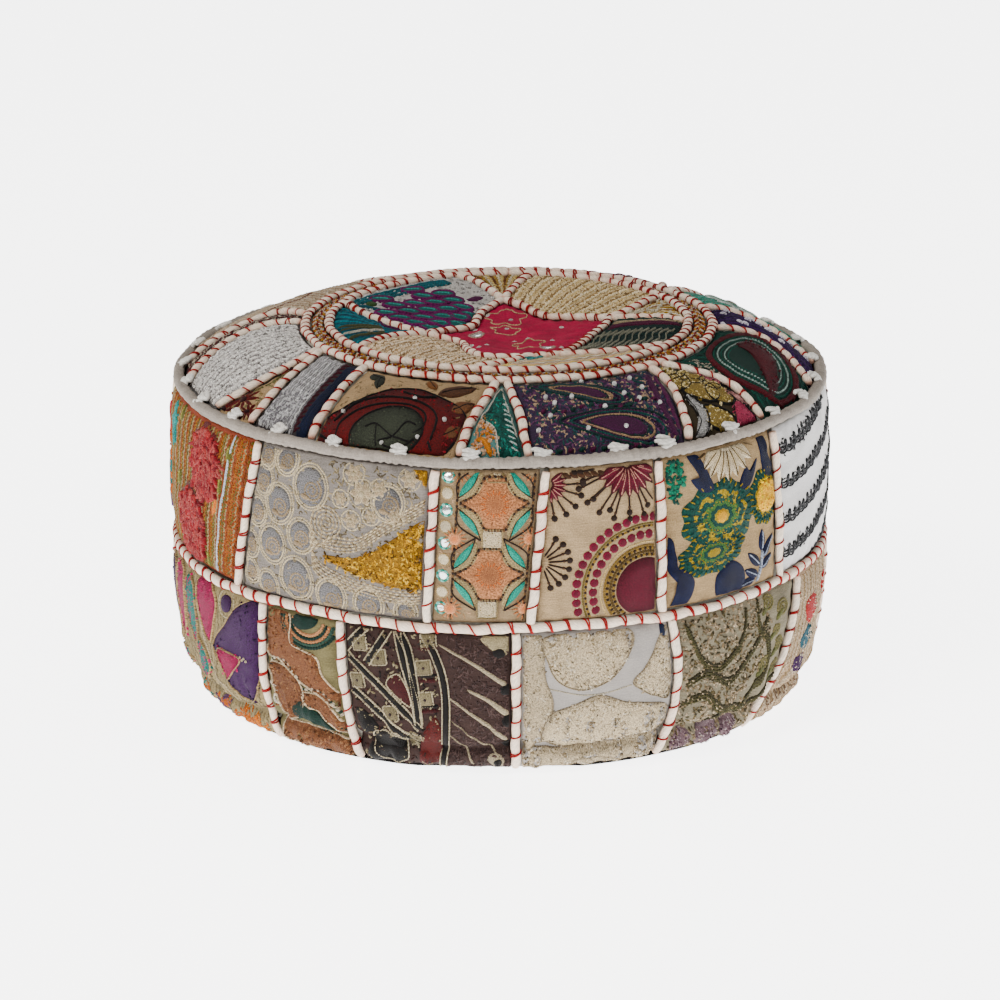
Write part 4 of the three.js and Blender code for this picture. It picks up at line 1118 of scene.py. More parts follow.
@art("cream_paisley")
def cream_paisley(e):
    cream, beige = "#cbba98", "#a89274"
    speckle(e, e.patch.outline, ("#b8a684", "#978768", "#756852"), 1000, 7, 0.8, 1.8, 0.6)
    circles = ((0.065, 0.93, 12), (0.2, 0.93, 13), (0.07, 0.77, 14), (0.2, 0.64, 17), (0.37, 0.79, 19),
               (0.06, 0.55, 13),
               (0.19, 0.36, 17), (0.355, 0.46, 15), (0.355, 0.17, 19), (0.55, 0.09, 16), (0.045, 0.32, 12),
               (0.07, 0.14, 11), (0.19, 0.08, 13), (0.74, 0.08, 15), (0.92, 0.05, 11), (0.8, 0.76, 16))
    for k, (u, v, size) in enumerate(circles):
        middle = spots(e, (u, v))
        for grow in (0, 2.6):
            e.stroke(ovals(middle, size - grow, size * 1.12 - grow, count=34)[np.r_[0:34, 0]], 1.0, cream,
                     bead=2.8)
        e.fill(middle, ovals(middle, size - 4, size * 1.12 - 4, count=24), "#8a8788", height=0.4, grain=20)
        e.spiral(middle + (size * 0.12, -size * 0.15), size * 0.55, 2.4, 1.5, beige, bead=2.6, start=70 * k)
        e.leaf(middle + (-size * 0.55, -size * 0.45), middle + (size * 0.1, -size * 0.6), 5, beige,
               height=1.6)
    gold = shape(e, ((0.49, 0.36), (0.66, 0.38), (0.82, 0.51), (0.99, 0.66), (0.995, 0.44), (0.99, 0.22),
                     (0.86, 0.215),
                     (0.74, 0.245), (0.61, 0.29)), "#96701f", height=1.0)
    speckle(e, gold, ("#c8962e", "#d9a945", "#9a7020", "#e3bd62", "#6f5220"), 520, 6, 0.8, 1.6, 1.9)
    for k in range(5):
        off = 0.02 * k
        line(e, ((0.40, 0.60 - 0.5 * off), (0.43, 0.47 - off), (0.52, 0.405 + off), (0.66, 0.425 + off),
                 (0.8, 0.56 + off),
                 (0.93, 0.67 + off), (0.99, 0.72 + off)), 1.05, cream, bead=2.8, second=beige)
        line(e, ((0.40 + 0.3 * off, 0.50), (0.45, 0.34 - off), (0.58, 0.255 - off), (0.74, 0.21 - off),
                 (0.9, 0.19 - off),
                 (0.99, 0.195 - off)), 1.05, beige, bead=2.8, second=cream)
    e.spiral(spots(e, (0.49, 0.58)), 17, 4.2, 1.15, cream, bead=2.8, second=beige, start=200)
    for u, v, size in ((0.62, 0.62, 8), (0.66, 0.8, 12), (0.75, 0.84, 8), (0.84, 0.68, 7), (0.72, 0.66, 7),
                       (0.6, 0.92, 9),
                       (0.9, 0.92, 9), (0.55, 0.75, 7)):
        e.flower(spots(e, (u, v)), size, 6, beige, cream, size * 0.25, cream, height=1.0)
        e.ring(spots(e, (u, v)), size + 1.2, 0.9, cream, bead=2.6)
    corner = shape(e, ((0.91, 0.99), (0.99, 0.99), (0.99, 0.87)), "#96701f", soft=False)
    speckle(e, corner, ("#c8962e", "#d9a945", "#6f5220"), 60, 5, 0.8, lift=1.9)


@art("peach_tiles")
def peach_tiles(e):
    brown, mint, peach, tan = "#3c2a22", "#359a86", "#c8845e", "#a8946c"
    speckle(e, e.patch.outline, ("#c9a582", "#b58f6a"), 260, 6, 0.7, 1.5, 0.6)
    for k in range(9):
        spot = spots(e, (0.095, 0.955 - 0.107 * k))
        if k % 2 == 0:
            e.mirror(spot, 4.6, mint, "#7fcfc0")
        else:
            e.disc(spot, 5.5, "#d3c4a4", height=0.9)
            e.ring(spot, 5.6, 1.0, "#b79c70", bead=2.4)
    for u in (0.2, 0.955):
        line(e, ((u, 0.01), (u, 0.5), (u, 0.99)), 1.4, brown, bead=2.8, second="#8a6a48")
    for v in (0.79, 0.33):
        m = spots(e, (0.575, v))
        star = [m + (x, y) for x,
                y in ((-31, 0), (-18, 7), (-9, 24), (9, 24), (18, 7), (31, 0), (18, -7), (9, -24),
                                        (-9, -24), (-18, -7))]
        star = resample(np.array(star + star[:1]), 4)[0][:-1]
        e.fill(m, star, "#a56c4c", "#b8825f", 1.2, None)
        for k in range(26):
            turn = 2 * math.pi * k / 26
            out = np.array([math.cos(turn), math.sin(turn)])
            e.stroke([m + out * 7, m + out * (11 + 3 * (k % 2))], 0.7, "#c4683f", height=1.9, step=2)
        e.stroke(np.concatenate([star, star[:1]]), 1.5, brown, bead=2.6, height=1.8, second="#7a5a40")
        e.mirror(m, 4.4, mint, "#2f8f80")
        for side in (-1, 1):
            for up in (-1, 1):
                tip = m + (side * 33, up * 4)
                foot = m + (side * 12, up * 34)
                e.leaf(tip, foot, 13, tan, bend=0.17 * side * up)
                e.leaf(tip + (-side * 2, up * 2), foot + (side * 1, -up * 4), 7.5, mint,
                       bend=0.02 * side * up, height=1.9)
                arc = curve([tip, m + (side * 32, up * 20), foot])
                e.stroke(arc, 0.7, brown, height=1.8)
                inner = curve([tip, m + (side * 19, up * 16), foot])
                e.stroke(inner, 0.6, brown, height=2.1)
    for v in (0.56, 0.10, 0.99):
        m = spots(e, (0.575, v))
        square = np.array([(-9, -9), (9, -9), (9, 9), (-9, 9), (-9, -9)])
        e.fill(m, m + resample(square, 4)[0][:-1], "#cdbb98", height=0.8)
        e.stroke(m + resample(square, 3)[0], 0.8, "#a38d66", height=1.5)
        e.ring(m, 6, 1.3, "#b79c70", bead=2.6, second="#8c7a50")
        e.mirror(m, 2.6, "#cdbb98")
        for side in (-1, 1):
            sun = m + (side * 33, 0)
            e.disc(sun, 6, "#cf7f57", "#dba680", height=1.4)
            for k in range(14):
                turn = 2 * math.pi * k / 14
                out = np.array([math.cos(turn), math.sin(turn)])
                e.stroke([sun + out * 5, sun + out * 11], 0.7, peach, height=1.3, step=2)


@art("crimson_sun")
def crimson_sun(e):
    crimson, brown = "#741038", "#3a2519"

    def bloom(middle, petals, first, last, size, reach, color):
        for k in range(petals):
            turn = math.radians(first + (last - first) * k / (petals - 1))
            out = np.array([math.cos(turn), math.sin(turn)])
            tip = middle + out * reach
            e.stroke([middle + out * size * 0.5, tip], 0.9, brown, height=1.2)
            e.disc(tip, 2.9, brown, height=1.6, sides=8)
            e.disc(tip - out * 5, 1.5, "#5a3b28", height=1.3, sides=6)
            if color:
                e.leaf(middle + out * size * 0.2, middle + out * size, size * 0.3, color, vein="#c08a7c",
                       edge="#4a0c1c",
                       height=1.9)
        e.disc(middle, size * 0.3, brown, height=2.4)

    top = spots(e, (0.73, 1.0))
    bloom(top, 11, 185, 355, 31, 50, crimson)
    bloom(top, 7, 196, 344, 18, 44, "#66102a")
    bloom(spots(e, (0.0, 0.9)), 8, -100, 40, 17, 31, crimson)
    bloom(spots(e, (0.0, 0.4)), 9, -90, 60, 12, 25, None)
    for k in range(6):
        root = spots(e, (0.12 + 0.065 * k, 0.97))
        e.leaf(root, root + (7, 6), 4.5, brown)
        e.leaf(root, root + (8, -5), 4.5, "#5a3b28")
    sun = spots(e, (0.87, 0.19))
    e.disc(sun, 27, "#6c0a34", "#5e082c", height=1.6, sides=34, grain=20)
    for radius, shade, width in ((29.5, brown, 1.7), (32.5, "#6b5530", 1.7), (35.5, brown, 1.7),
                                 (38, "#8a7040", 1.4),
                                 (41.5, "#cdb07c", 1.1), (55.5, brown, 1.4), (58, "#7a6a3c", 1.2)):
        e.ring(sun, radius, width, shade, bead=2.7, second="#9a7c44" if shade == brown else None)
    for radius, count in ((48.5, 34), (64, 44)):
        for k in range(count):
            turn = 360 * k / count
            spot = sun + turned((radius, 0), turn)
            e.disc(spot, 4.1, "#6e1234", "#8c2444", height=1.6, sides=10)
            e.disc(sun + turned((radius, 0), turn + 180 / count), 1.1, "#d8c8a8", height=1.2, sides=6)


@art("green_peony")
def green_peony(e):
    green, yellow, navy, cream = "#11544a", "#a8902a", "#0e1434", "#c4b08c"

    def ruffle(middle, wide, tall, turn, heart):
        for grow, color in ((1.0, green), (0.86, yellow), (0.72, green), (0.58, "#4f7a3c"), (0.44, green),
                            (0.30, yellow)):
            t = np.linspace(0, 2 * math.pi, 61)[:-1]
            wave = 1 + 0.055 * np.sin(9 * t + 8 * grow)
            ring = turned(np.stack([wide * grow * wave * np.cos(t), tall * grow * wave * np.sin(t)], -1),
                          turn)
            e.fill(middle, middle + ring, color, height=1.0 + 1.6 * (1 - grow), grain=None)
            for k in range(0, 60, 2):
                e.stroke([middle + ring[k] * 0.84, middle + ring[k]], 0.7,
                         yellow if color == green else green,
                         height=1.9 + 1.6 * (1 - grow), step=2)
        e.disc(middle, heart, "#d6a52a", height=3.4)

    ruffle(spots(e, (0.43, 0.56)), 43, 33, 0, 6)
    ruffle(spots(e, (0.36, 0.33)), 38, 20, 8, 0.1)
    ruffle(spots(e, (0.87, 0.60)), 23, 27, 0, 15)
    speckle(e, ovals(spots(e, (0.86, 0.6)), 12, 16), ("#e0b52e", "#c98a20", "#e8c850"), 90, 5, 0.9, 0.6,
            4.2, 90)
    for places in (((0.19, 0.99), (0.27, 0.99), (0.38, 0.78), (0.36, 0.72), (0.28, 0.74), (0.2, 0.83),
                    (0.27, 0.84)),
                   ((0.62, 0.72), (0.68, 0.83), (0.72, 0.8), (0.8, 0.86), (0.75, 0.74), (0.67, 0.68)),
                   ((0.84, 0.99), (0.91, 0.99), (0.94, 0.88), (0.99, 0.72), (0.88, 0.70), (0.85, 0.83)),
                   ((0.38, 0.14), (0.45, 0.21), (0.53, 0.24), (0.63, 0.16), (0.64, 0.02), (0.42, 0.01)),
                   ((0.02, 0.47), (0.06, 0.43), (0.05, 0.3), (0.14, 0.25), (0.21, 0.16), (0.17, 0.02),
                    (0.04, 0.02),
                    (0.12, 0.12), (0.02, 0.26))):
        shape(e, places, navy, "#16204a", height=1.5)
    stem = spots(e, (0.78, 0.06))
    for dx, dy, ex, ey in ((0, 2, -20, 12), (1, 12, -18, 28), (3, 8, 18, 20), (4, 18, 20, 38),
                           (3, 25, 2, 46), (-4, 0, -24, -3)):
        e.leaf(stem + (dx, dy), stem + (ex, ey), 9, navy, vein="#aab4c8", edge="#16204a")
    e.stroke(curve([stem + (0, -6), stem + (2, 12), stem + (3, 26)]), 1.0, "#aab4c8", height=2.4)
    speckle(e, ovals(spots(e, (0.07, 0.86)), 12, 24), (green, "#1f7a5c", "#2c8a6c"), 110, 7, 1.3, 1.0, 1.8)
    bloom = spots(e, (0.53, 1.04))
    for k in range(9):
        turn = math.radians(200 + 17.5 * k)
        out = np.array([math.cos(turn), math.sin(turn)])
        e.leaf(bloom + out * 6, bloom + out * 38, 12, cream, edge="#d8c8aa", height=1.6)
        e.stroke(bloom + out * np.linspace(10, 37, 6)[:, None], 0.5, "#6b5636", height=2.6)


@art("silver_satin")
def silver_satin(e):
    for k in range(6):
        low = -0.12 + 0.235 * k
        for shade, off in (("#3c3d3f", 0.0), ("#6f7072", 0.018), ("#2e2f31", 0.036)):
            t = np.linspace(0.01, 0.99, 60)
            v = low + off + 0.28 * t ** 1.4 + 0.018 * np.abs(np.sin(9 * math.pi * t))
            path = spots(e, np.stack([t, v], -1)[(v > 0.01) & (v < 0.99)])
            if len(path) < 6:
                continue
            path, at = resample(path, 0.8)
            spin = at / 1.5
            e.stroke(path + 3.3 * np.stack([np.cos(spin), np.sin(spin)], -1), 0.75, shade, height=1.3,
                     step=1.0)
            band = np.concatenate([path + (0, 4.5), (path - (0, 4.5))[::-1]])[::6]
            speckle(e, band, (shade, "#8f9092", "#232426"), 75, 5, 0.65, 1.8, 1.2)


# Lower row
@art("magenta_felt")
def magenta_felt(e):
    magenta, purple, teal = "#941351", "#4b2558", "#1d8278"
    moss_all(e, ("#a3926c", "#8d7f60"), 5.5, 0.7)
    line(e, ((0.52, 0.9), (0.6, 0.5), (0.7, 0.3), (0.8, 0.2)), 1.0, "#b8a888", height=1.2)
    flat, raised = 1.9, 3.1
    for places, color, tall in (
            (((0.70, 0.62), (0.78, 0.75), (0.88, 0.93), (0.99, 0.97), (0.995, 0.62), (0.97, 0.36),
              (0.91, 0.26),
              (0.85, 0.28), (0.77, 0.38), (0.69, 0.5)), purple, flat),
            (((0.55, 0.97), (0.66, 0.98), (0.72, 0.88), (0.70, 0.72), (0.66, 0.58), (0.60, 0.64),
              (0.55, 0.84)), magenta, flat),
            (((0.72, 0.56), (0.88, 0.56), (0.83, 0.45), (0.77, 0.38)), magenta, raised),
            (((0.42, 0.92), (0.5, 0.9), (0.53, 0.7), (0.5, 0.5), (0.43, 0.62)), teal, flat),
            (((0.50, 0.52), (0.57, 0.5), (0.6, 0.38), (0.55, 0.28)), teal, flat),
            (((0.28, 0.96), (0.38, 0.9), (0.38, 0.6), (0.3, 0.45), (0.25, 0.7)), magenta, flat),
            (((0.08, 0.9), (0.2, 0.9), (0.22, 0.5), (0.12, 0.35), (0.05, 0.6)), purple, flat),
            (((0.05, 0.3), (0.2, 0.34), (0.34, 0.3), (0.2, 0.22)), teal, flat)):
        felt = shape(e, places, color, height=tall, outline="#b49a70", width=0.6)
        speckle(e, felt, (color, "#2c1440" if color == purple else "#c02a6c"), 150, 5, 0.7, 1.8, tall + 0.5)
    e.disc(spots(e, (0.79, 0.9)), 8, purple, height=2.0)
    e.ring(spots(e, (0.79, 0.9)), 13, 1.0, "#b9ab88")
    for k in range(4):
        e.disc(spots(e, (0.885 + 0.012 * k, 0.57 - 0.015 * (k % 2))), 1.3, "#d8cba0", height=3.0, sides=6)
    for u0, colors in ((0.86, ("#b8662c", "#c97a3c")), (0.6, ("#6b4a70", "#b8662c")),
                       (0.35, ("#b8662c", "#1d8278"))):
        patch = ovals(spots(e, (u0, 0.09)), 24, 10)
        speckle(e, patch, colors, 130, 6, 1.0, 1.5, 1.2)


@art("salmon_flowers")
def salmon_flowers(e):
    salmon, green = ("#a07052", "#8c5c3e", "#b08260", "#68422c"), "#12382e"
    for places, count in ((((0.04, 0.97), (0.36, 0.97), (0.40, 0.80), (0.56, 0.76), (0.74, 0.72),
                            (0.8, 0.6), (0.96, 0.5),
                            (0.97, 0.4), (0.6, 0.5), (0.4, 0.58), (0.22, 0.66), (0.05, 0.68)), 300),
                          (((0.06, 0.6), (0.3, 0.62), (0.5, 0.52), (0.52, 0.34), (0.36, 0.26), (0.2, 0.3),
                            (0.12, 0.42)), 210),
                          (((0.52, 0.46), (0.8, 0.44), (0.99, 0.26), (0.94, 0.18), (0.72, 0.34),
                            (0.56, 0.38)), 130),
                          (((0.12, 0.18), (0.3, 0.25), (0.6, 0.18), (0.97, 0.14), (0.97, 0.02), (0.5, 0.02),
                            (0.16, 0.04)), 260)):
        felt = shape(e, places, "#85583e", height=1.3, outline="#d6c0a0", width=0.6)
        speckle(e, felt, salmon, count, 5, 0.85, 1.7, 2.1)
    eye = spots(e, (0.62, 0.97))
    for radius, shade in ((31, green), (27.5, "#3d5f50"), (24, "#b07a58"), (21, green), (17, "#c08a66")):
        e.stroke(ovals(eye, radius, radius * 0.85, count=50)[25:], 1.9, shade, bead=3.2)
    e.fill(eye + (-4, -2), ovals(eye + (-4, -2), 15, 8, 12), green, height=2.0)
    line(e, ((0.05, 0.55), (0.12, 0.64), (0.3, 0.66), (0.46, 0.56), (0.52, 0.48)), 1.8, green, bead=3.2,
         second="#c9b9a0")
    line(e, ((0.52, 0.48), (0.75, 0.49), (0.92, 0.4), (0.99, 0.3)), 1.8, green, bead=3.2, second="#c9b9a0")
    line(e, ((0.56, 0.38), (0.74, 0.36), (0.9, 0.26), (0.99, 0.18)), 1.7, green, bead=3.2)
    shape(e, ((0.36, 0.33), (0.44, 0.39), (0.6, 0.37), (0.74, 0.29), (0.82, 0.2), (0.66, 0.23),
              (0.52, 0.28), (0.4, 0.26)),
          green, height=2.3)
    for low in (0.0, 0.03):
        line(e, ((0.36, 0.24 - low), (0.5, 0.19 - low), (0.7, 0.16 - low), (0.86, 0.17 - low)), 1.6, green,
             bead=3.2)
    line(e, ((0.02, 0.46), (0.16, 0.44), (0.1, 0.36), (0.24, 0.3)), 1.3, "#e0d4c4", bead=3)


@art("black_maroon")
def black_maroon(e):
    black, cream, maroon, mauve = "#17110f", "#cdbf9e", "#4e1a1c", "#5b4440"
    left = e.patch.at(np.array([0, 0.58, 0.62, 0.58, 0.5, 0.0]), np.array([1, 1, 0.7, 0.35, 0, 0]))
    e.fill(left.mean(0), resample(np.concatenate([left, left[:1]]), 4)[0][:-1], "#5c5240", height=1.0)
    speckle(e, left, ("#a89a78", "#2a201c", "#5a3a34", "#b8ab88", "#3a2a26"), 620, 5, 0.9, 1.2, 1.6)
    right = e.patch.at(np.array([0.6, 1, 1, 0.55, 0.62, 0.64]), np.array([1, 1, 0, 0, 0.35, 0.7]))
    speckle(e, right, (mauve, "#6b534e", "#473330"), 620, 7, 0.9, 0.7, 0.8, heading=60)
    shape(e, ((0.33, 0.7), (0.26, 0.62), (0.39, 0.48), (0.385, 0.6)), maroon, height=1.5, outline=cream,
          width=0.7, bead=2.6)
    shape(e, ((0.45, 0.28), (0.54, 0.42), (0.58, 0.3), (0.53, 0.06), (0.42, 0.05), (0.42, 0.15)), "#5c1f1c",
          height=1.3)
    shape(e, ((0.03, 0.4), (0.1, 0.42), (0.18, 0.3), (0.07, 0.25)), black, height=1.3)
    shape(e, ((0.15, 0.28), (0.3, 0.26), (0.34, 0.1), (0.2, 0.04), (0.12, 0.12)), black, height=1.4,
          outline=cream, width=0.7, bead=2.6)
    shape(e, ((0.04, 0.02), (0.12, 0.2), (0.18, 0.04)), black, height=1.2)
    bands = (((0.0, 0.82), (0.06, 0.9), (0.14, 0.99)), ((0.28, 0.99), (0.22, 0.88), (0.14, 0.75)),
             ((0.33, 0.99), (0.37, 0.8), (0.42, 0.55), (0.44, 0.36)),
             ((0.0, 0.80), (0.18, 0.64), (0.32, 0.48), (0.45, 0.33)),
             ((0.03, 0.56), (0.18, 0.43), (0.3, 0.31), (0.43, 0.18)),
             ((0.335, 1.0), (0.40, 0.86), (0.43, 0.62), (0.445, 0.36)),
             ((0.49, 0.99), (0.57, 0.82), (0.61, 0.6), (0.6, 0.3), (0.55, 0.01)))
    for band in bands:
        line(e, band, 2.9, black, height=1.7)
        path = curve(spots(e, band))
        side = np.gradient(path, axis=0)
        side /= np.linalg.norm(side, axis=1, keepdims=True)
        for offset in (-3.3, 3.3):
            e.stroke(path + np.stack([-side[:, 1], side[:, 0]], -1) * offset, 0.75, cream, bead=2.4,
                     height=2.0)
    for u, v in ((0.07, 0.62), (0.1, 0.88), (0.27, 0.42), (0.49, 0.76), (0.49, 0.54), (0.4, 0.23),
                 (0.22, 0.8), (0.52, 0.94)):
        m = spots(e, (u, v))
        tile = turned(np.array([(-7, -7), (7, -7), (7, 7), (-7, 7), (-7, -7)]), 8)
        e.fill(m, m + resample(tile, 4)[0][:-1], "#887c5e", height=1.5)
        e.flower(m, 5.5, 6, "#4a2a2c", "#6b4a48", 2.0, "#3a2224", height=1.2)
        e.stroke(m + resample(tile, 2.5)[0], 0.7, cream, bead=2.4, height=1.6)
    for v in (0.66, 0.88, 0.45):
        line(e, ((0.455, v), (0.57, v + 0.02)), 2.2, maroon, height=1.5)
        line(e, ((0.455, v + 0.035), (0.57, v + 0.055)), 1.6, black, height=1.5)
    for stripe, width in ((((0.58, 0.92), (0.78, 0.8), (0.97, 0.65)), 2.6),
                          (((0.74, 0.62), (0.86, 0.55), (0.98, 0.44)), 3.4),
                          (((0.62, 0.57), (0.8, 0.42), (0.97, 0.27)), 2.4),
                          (((0.64, 0.4), (0.8, 0.26), (0.93, 0.12)), 1.0),
                          (((0.62, 0.3), (0.7, 0.2), (0.76, 0.08)), 1.2)):
        line(e, stripe, lambda t, w=width: w * (0.35 + 0.65 * t), "#b5a688", height=1.5)
    for u, v in ((0.93, 0.88), (0.97, 0.62), (0.98, 0.4), (0.97, 0.22)):
        e.disc(spots(e, (u, v)), 6, black, height=1.4)
    e.disc(spots(e, (0.9, 0.09)), 8.5, "#b5a688", height=1.2)
    e.disc(spots(e, (0.91, 0.09)), 4.6, black, height=2.0)
    shape(e, ((0.82, 0.98), (0.99, 0.99), (0.97, 0.86), (0.88, 0.9)), "#a89a78", height=1.2)


@art("ivory_lace")
def ivory_lace(e):
    ivory = ("#dcc9ac", "#c8b494", "#e6d8c0", "#a89474")
    for places, count in ((((0.02, 0.98), (0.13, 0.98), (0.15, 0.7), (0.2, 0.5), (0.14, 0.25),
                            (0.02, 0.22)), 330),
                          (((0.17, 0.97), (0.7, 0.98), (0.68, 0.8), (0.56, 0.66), (0.4, 0.6), (0.24, 0.66),
                            (0.17, 0.8)), 620),
                          (((0.71, 0.62), (0.8, 0.72), (0.98, 0.96), (0.98, 0.5), (0.86, 0.5),
                            (0.76, 0.56)), 330),
                          (((0.15, 0.22), (0.17, 0.42), (0.33, 0.5), (0.5, 0.55), (0.68, 0.48),
                            (0.95, 0.42), (0.98, 0.26),
                            (0.6, 0.2), (0.4, 0.17)), 700),
                          (((0.02, 0.17), (0.3, 0.17), (0.6, 0.18), (0.98, 0.2), (0.98, 0.02), (0.5, 0.02),
                            (0.02, 0.02)), 620)):
        lace = shape(e, places, "#c2b090", height=0.8, outline="#9c8c72", width=0.8, bead=2.6)
        speckle(e, lace, ("#6e6250", "#857862"), count // 6, 1.6, 0.8, 0.5, 1.9)
        speckle(e, lace, ivory, count, 4.5, 0.75, 2.0, 1.5)
    for u, v in ((0.32, 0.8), (0.4, 0.76), (0.5, 0.8), (0.58, 0.86), (0.35, 0.36), (0.48, 0.42),
                 (0.6, 0.36), (0.74, 0.36),
                 (0.86, 0.66), (0.92, 0.74), (0.07, 0.8), (0.08, 0.6), (0.07, 0.4), (0.25, 0.3),
                 (0.86, 0.32)):
        e.ring(spots(e, (u, v)), 3.2, 1.0, "#a8997c")
        e.disc(spots(e, (u, v)), 1.8, "#6e6250", height=0.9, sides=8)
    for low, high in ((0.17, 0.7), (0.72, 0.98)):
        line(e, ((low, 0.62), ((low + high) / 2, 0.56), (high, 0.6)), 0.8, "#b3a78e", bead=2.4)
    shape(e, ((0.93, 0.98), (0.96, 0.97), (0.95, 0.9), (0.92, 0.92)), "#1f2a4a", height=1.4)


@art("khaki_scrolls")
def khaki_scrolls(e):
    thread = ("#b8a284", "#a38c6c", "#847450", "#cbb698", "#5e5438")
    body = e.patch.at(np.array([0.02, 0.6, 0.75, 0.7, 0.55, 0.98, 0.98, 0.02]),
                      np.array([0.98, 0.98, 0.8, 0.5, 0.35, 0.2, 0.03, 0.03]))
    speckle(e, body, thread, 1500, 5, 0.85, 1.6, 1.5)
    for places in (((0.05, 0.95), (0.15, 0.7), (0.3, 0.62), (0.45, 0.75), (0.5, 0.95)),
                   ((0.05, 0.55), (0.2, 0.6), (0.4, 0.5), (0.55, 0.62), (0.7, 0.85)),
                   ((0.03, 0.4), (0.2, 0.45), (0.4, 0.32), (0.6, 0.3), (0.8, 0.45)),
                   ((0.6, 0.98), (0.62, 0.8), (0.72, 0.7), (0.8, 0.5), (0.7, 0.4)),
                   ((0.3, 0.2), (0.5, 0.3), (0.75, 0.26), (0.96, 0.4))):
        for off in (0, 0.022, 0.044):
            line(e, [(u, v - off) for u, v in places], 1.5, "#5f5a36" if off else "#4a4429", height=1.9,
                 bead=3)
    for u, v, size in ((0.85, 0.85, 9), (0.88, 0.6, 8), (0.8, 0.72, 6), (0.92, 0.45, 7), (0.76, 0.5, 9),
                       (0.7, 0.92, 8)):
        e.spiral(spots(e, (u, v)), size, 2.3, 1.5, "#857c50", bead=3, start=50 * size)
        e.leaf(spots(e, (u - 0.06, v - 0.07)), spots(e, (u, v)), 6, "#6f7040")
    for u, v, size in ((0.42, 0.1, 17), (0.14, 0.1, 12), (0.66, 0.12, 11)):
        m = spots(e, (u, v))
        e.disc(m, size, "#7c6068", "#8f7478", height=1.5, sides=24)
        e.spiral(m, size, 3.0, 1.3, "#b79aa0", bead=3, second="#6b4a58")
        speckle(e, ovals(m, size, size), ("#a98a90", "#6b4a58", "#c2acac"), 90, 4, 0.8, lift=2.6)


@art("beige_mix")
def beige_mix(e):
    moss_all(e, ("#c2a888", "#a98f6c", "#cbb79a"), 3.0, 1.0)
    for places, color in ((((0.2, 0.75), (0.35, 0.6), (0.5, 0.65), (0.4, 0.8)), "#a81f24"),
                          (((0.25, 0.5), (0.4, 0.42), (0.5, 0.5), (0.38, 0.58)), "#235f6e"),
                          (((0.2, 0.36), (0.35, 0.3), (0.45, 0.36), (0.3, 0.42)), "#4b2558"),
                          (((0.6, 0.8), (0.8, 0.7), (0.85, 0.85)), "#a81f24")):
        blob = shape(e, places, color, height=1.7)
        speckle(e, blob, (color, "#d8c8b0"), 40, 5, 0.8, lift=2.3)
    for k in range(6):
        e.spiral(spots(e, (0.15 + 0.15 * k, 0.15 + 0.03 * (k % 2))), 9, 2, 1.3, "#7c5f48", bead=3)


# Seat, round the sewn ring
@art("seat_wedge_maroon_zigzag")
def maroon_zigzag(e):
    for k, color in enumerate(("#4e1b20", "#cbbfa9", "#6d2a2c", "#3a2a26")):
        e.rows(color, count=3, width=1.3, wiggle=2.0, wave=7, span=(0.05 + 0.08 * k, 0.75 + 0.08 * k),
               bead=3)


@art("seat_petal_silver_moss")
def silver_moss(e):
    moss_all(e, ("#e4dfda", "#b8b2ae", "#f0ebe6"), 3.4, 1.2, 2.0, 4.6)
    speckle(e, e.patch.outline, ("#f4f0ea", "#8f8a86", "#e0dad4", "#fbf8f4"), 1500, 5, 0.85, 2.2, 1.5)


@art("seat_wedge_tan_floral")
def tan_floral(e):
    speckle(e, e.patch.outline, ("#c2a87e", "#8f8a5e", "#a58a62"), 150, 7, 0.8, lift=0.8)
    for u, v, size in ((0.45, 0.12, 9), (0.55, 0.34, 12), (0.4, 0.82, 15), (0.15, 0.97, 12),
                       (0.8, 0.9, 10)):
        e.flower(spots(e, (u, v)), size, 9, "#5b1c1e", "#7a2c28", size * 0.22, "#3e1416", fat=0.55,
                 start=20 * size)
    line(e, ((0.3, 0.2), (0.55, 0.5), (0.4, 0.7)), 1.3, "#6e6a3e", bead=3)


@art("seat_petal_grey_couched")
def grey_couched(e):
    for k, color in enumerate(("#c4c2c3", "#a3a0a2", "#dad8d8", "#8c898c")):
        e.rows(color, count=6, width=1.15, wiggle=0.7, wave=11, span=(0.02 + 0.03 * k, 0.66 + 0.03 * k))
    speckle(e, e.patch.at(np.array([0.02, 0.6, 0.6, 0.02]), np.array([0.55, 0.55, 0.98, 0.98])),
            ("#d2d0d1", "#98959a"), 260, 7, 0.9, 2.4, 1.7)
    shape(e, ((0.82, 0.02), (0.84, 0.3), (0.80, 0.6), (0.80, 0.98), (0.96, 0.98), (0.97, 0.6), (0.98, 0.3),
              (0.97, 0.02)),
          "#101c3c", "#16244a", height=1.7, grain=70)
    for k in range(15):
        e.ring(spots(e, (0.785, 0.03 + 0.066 * k)), 3.4, 1.4, "#4e1526", bead=0, arc=(60, 300))
    e.sequin(spots(e, (0.9, 0.35)), 1.7)
    e.sequin(spots(e, (0.88, 0.42)), 1.5)


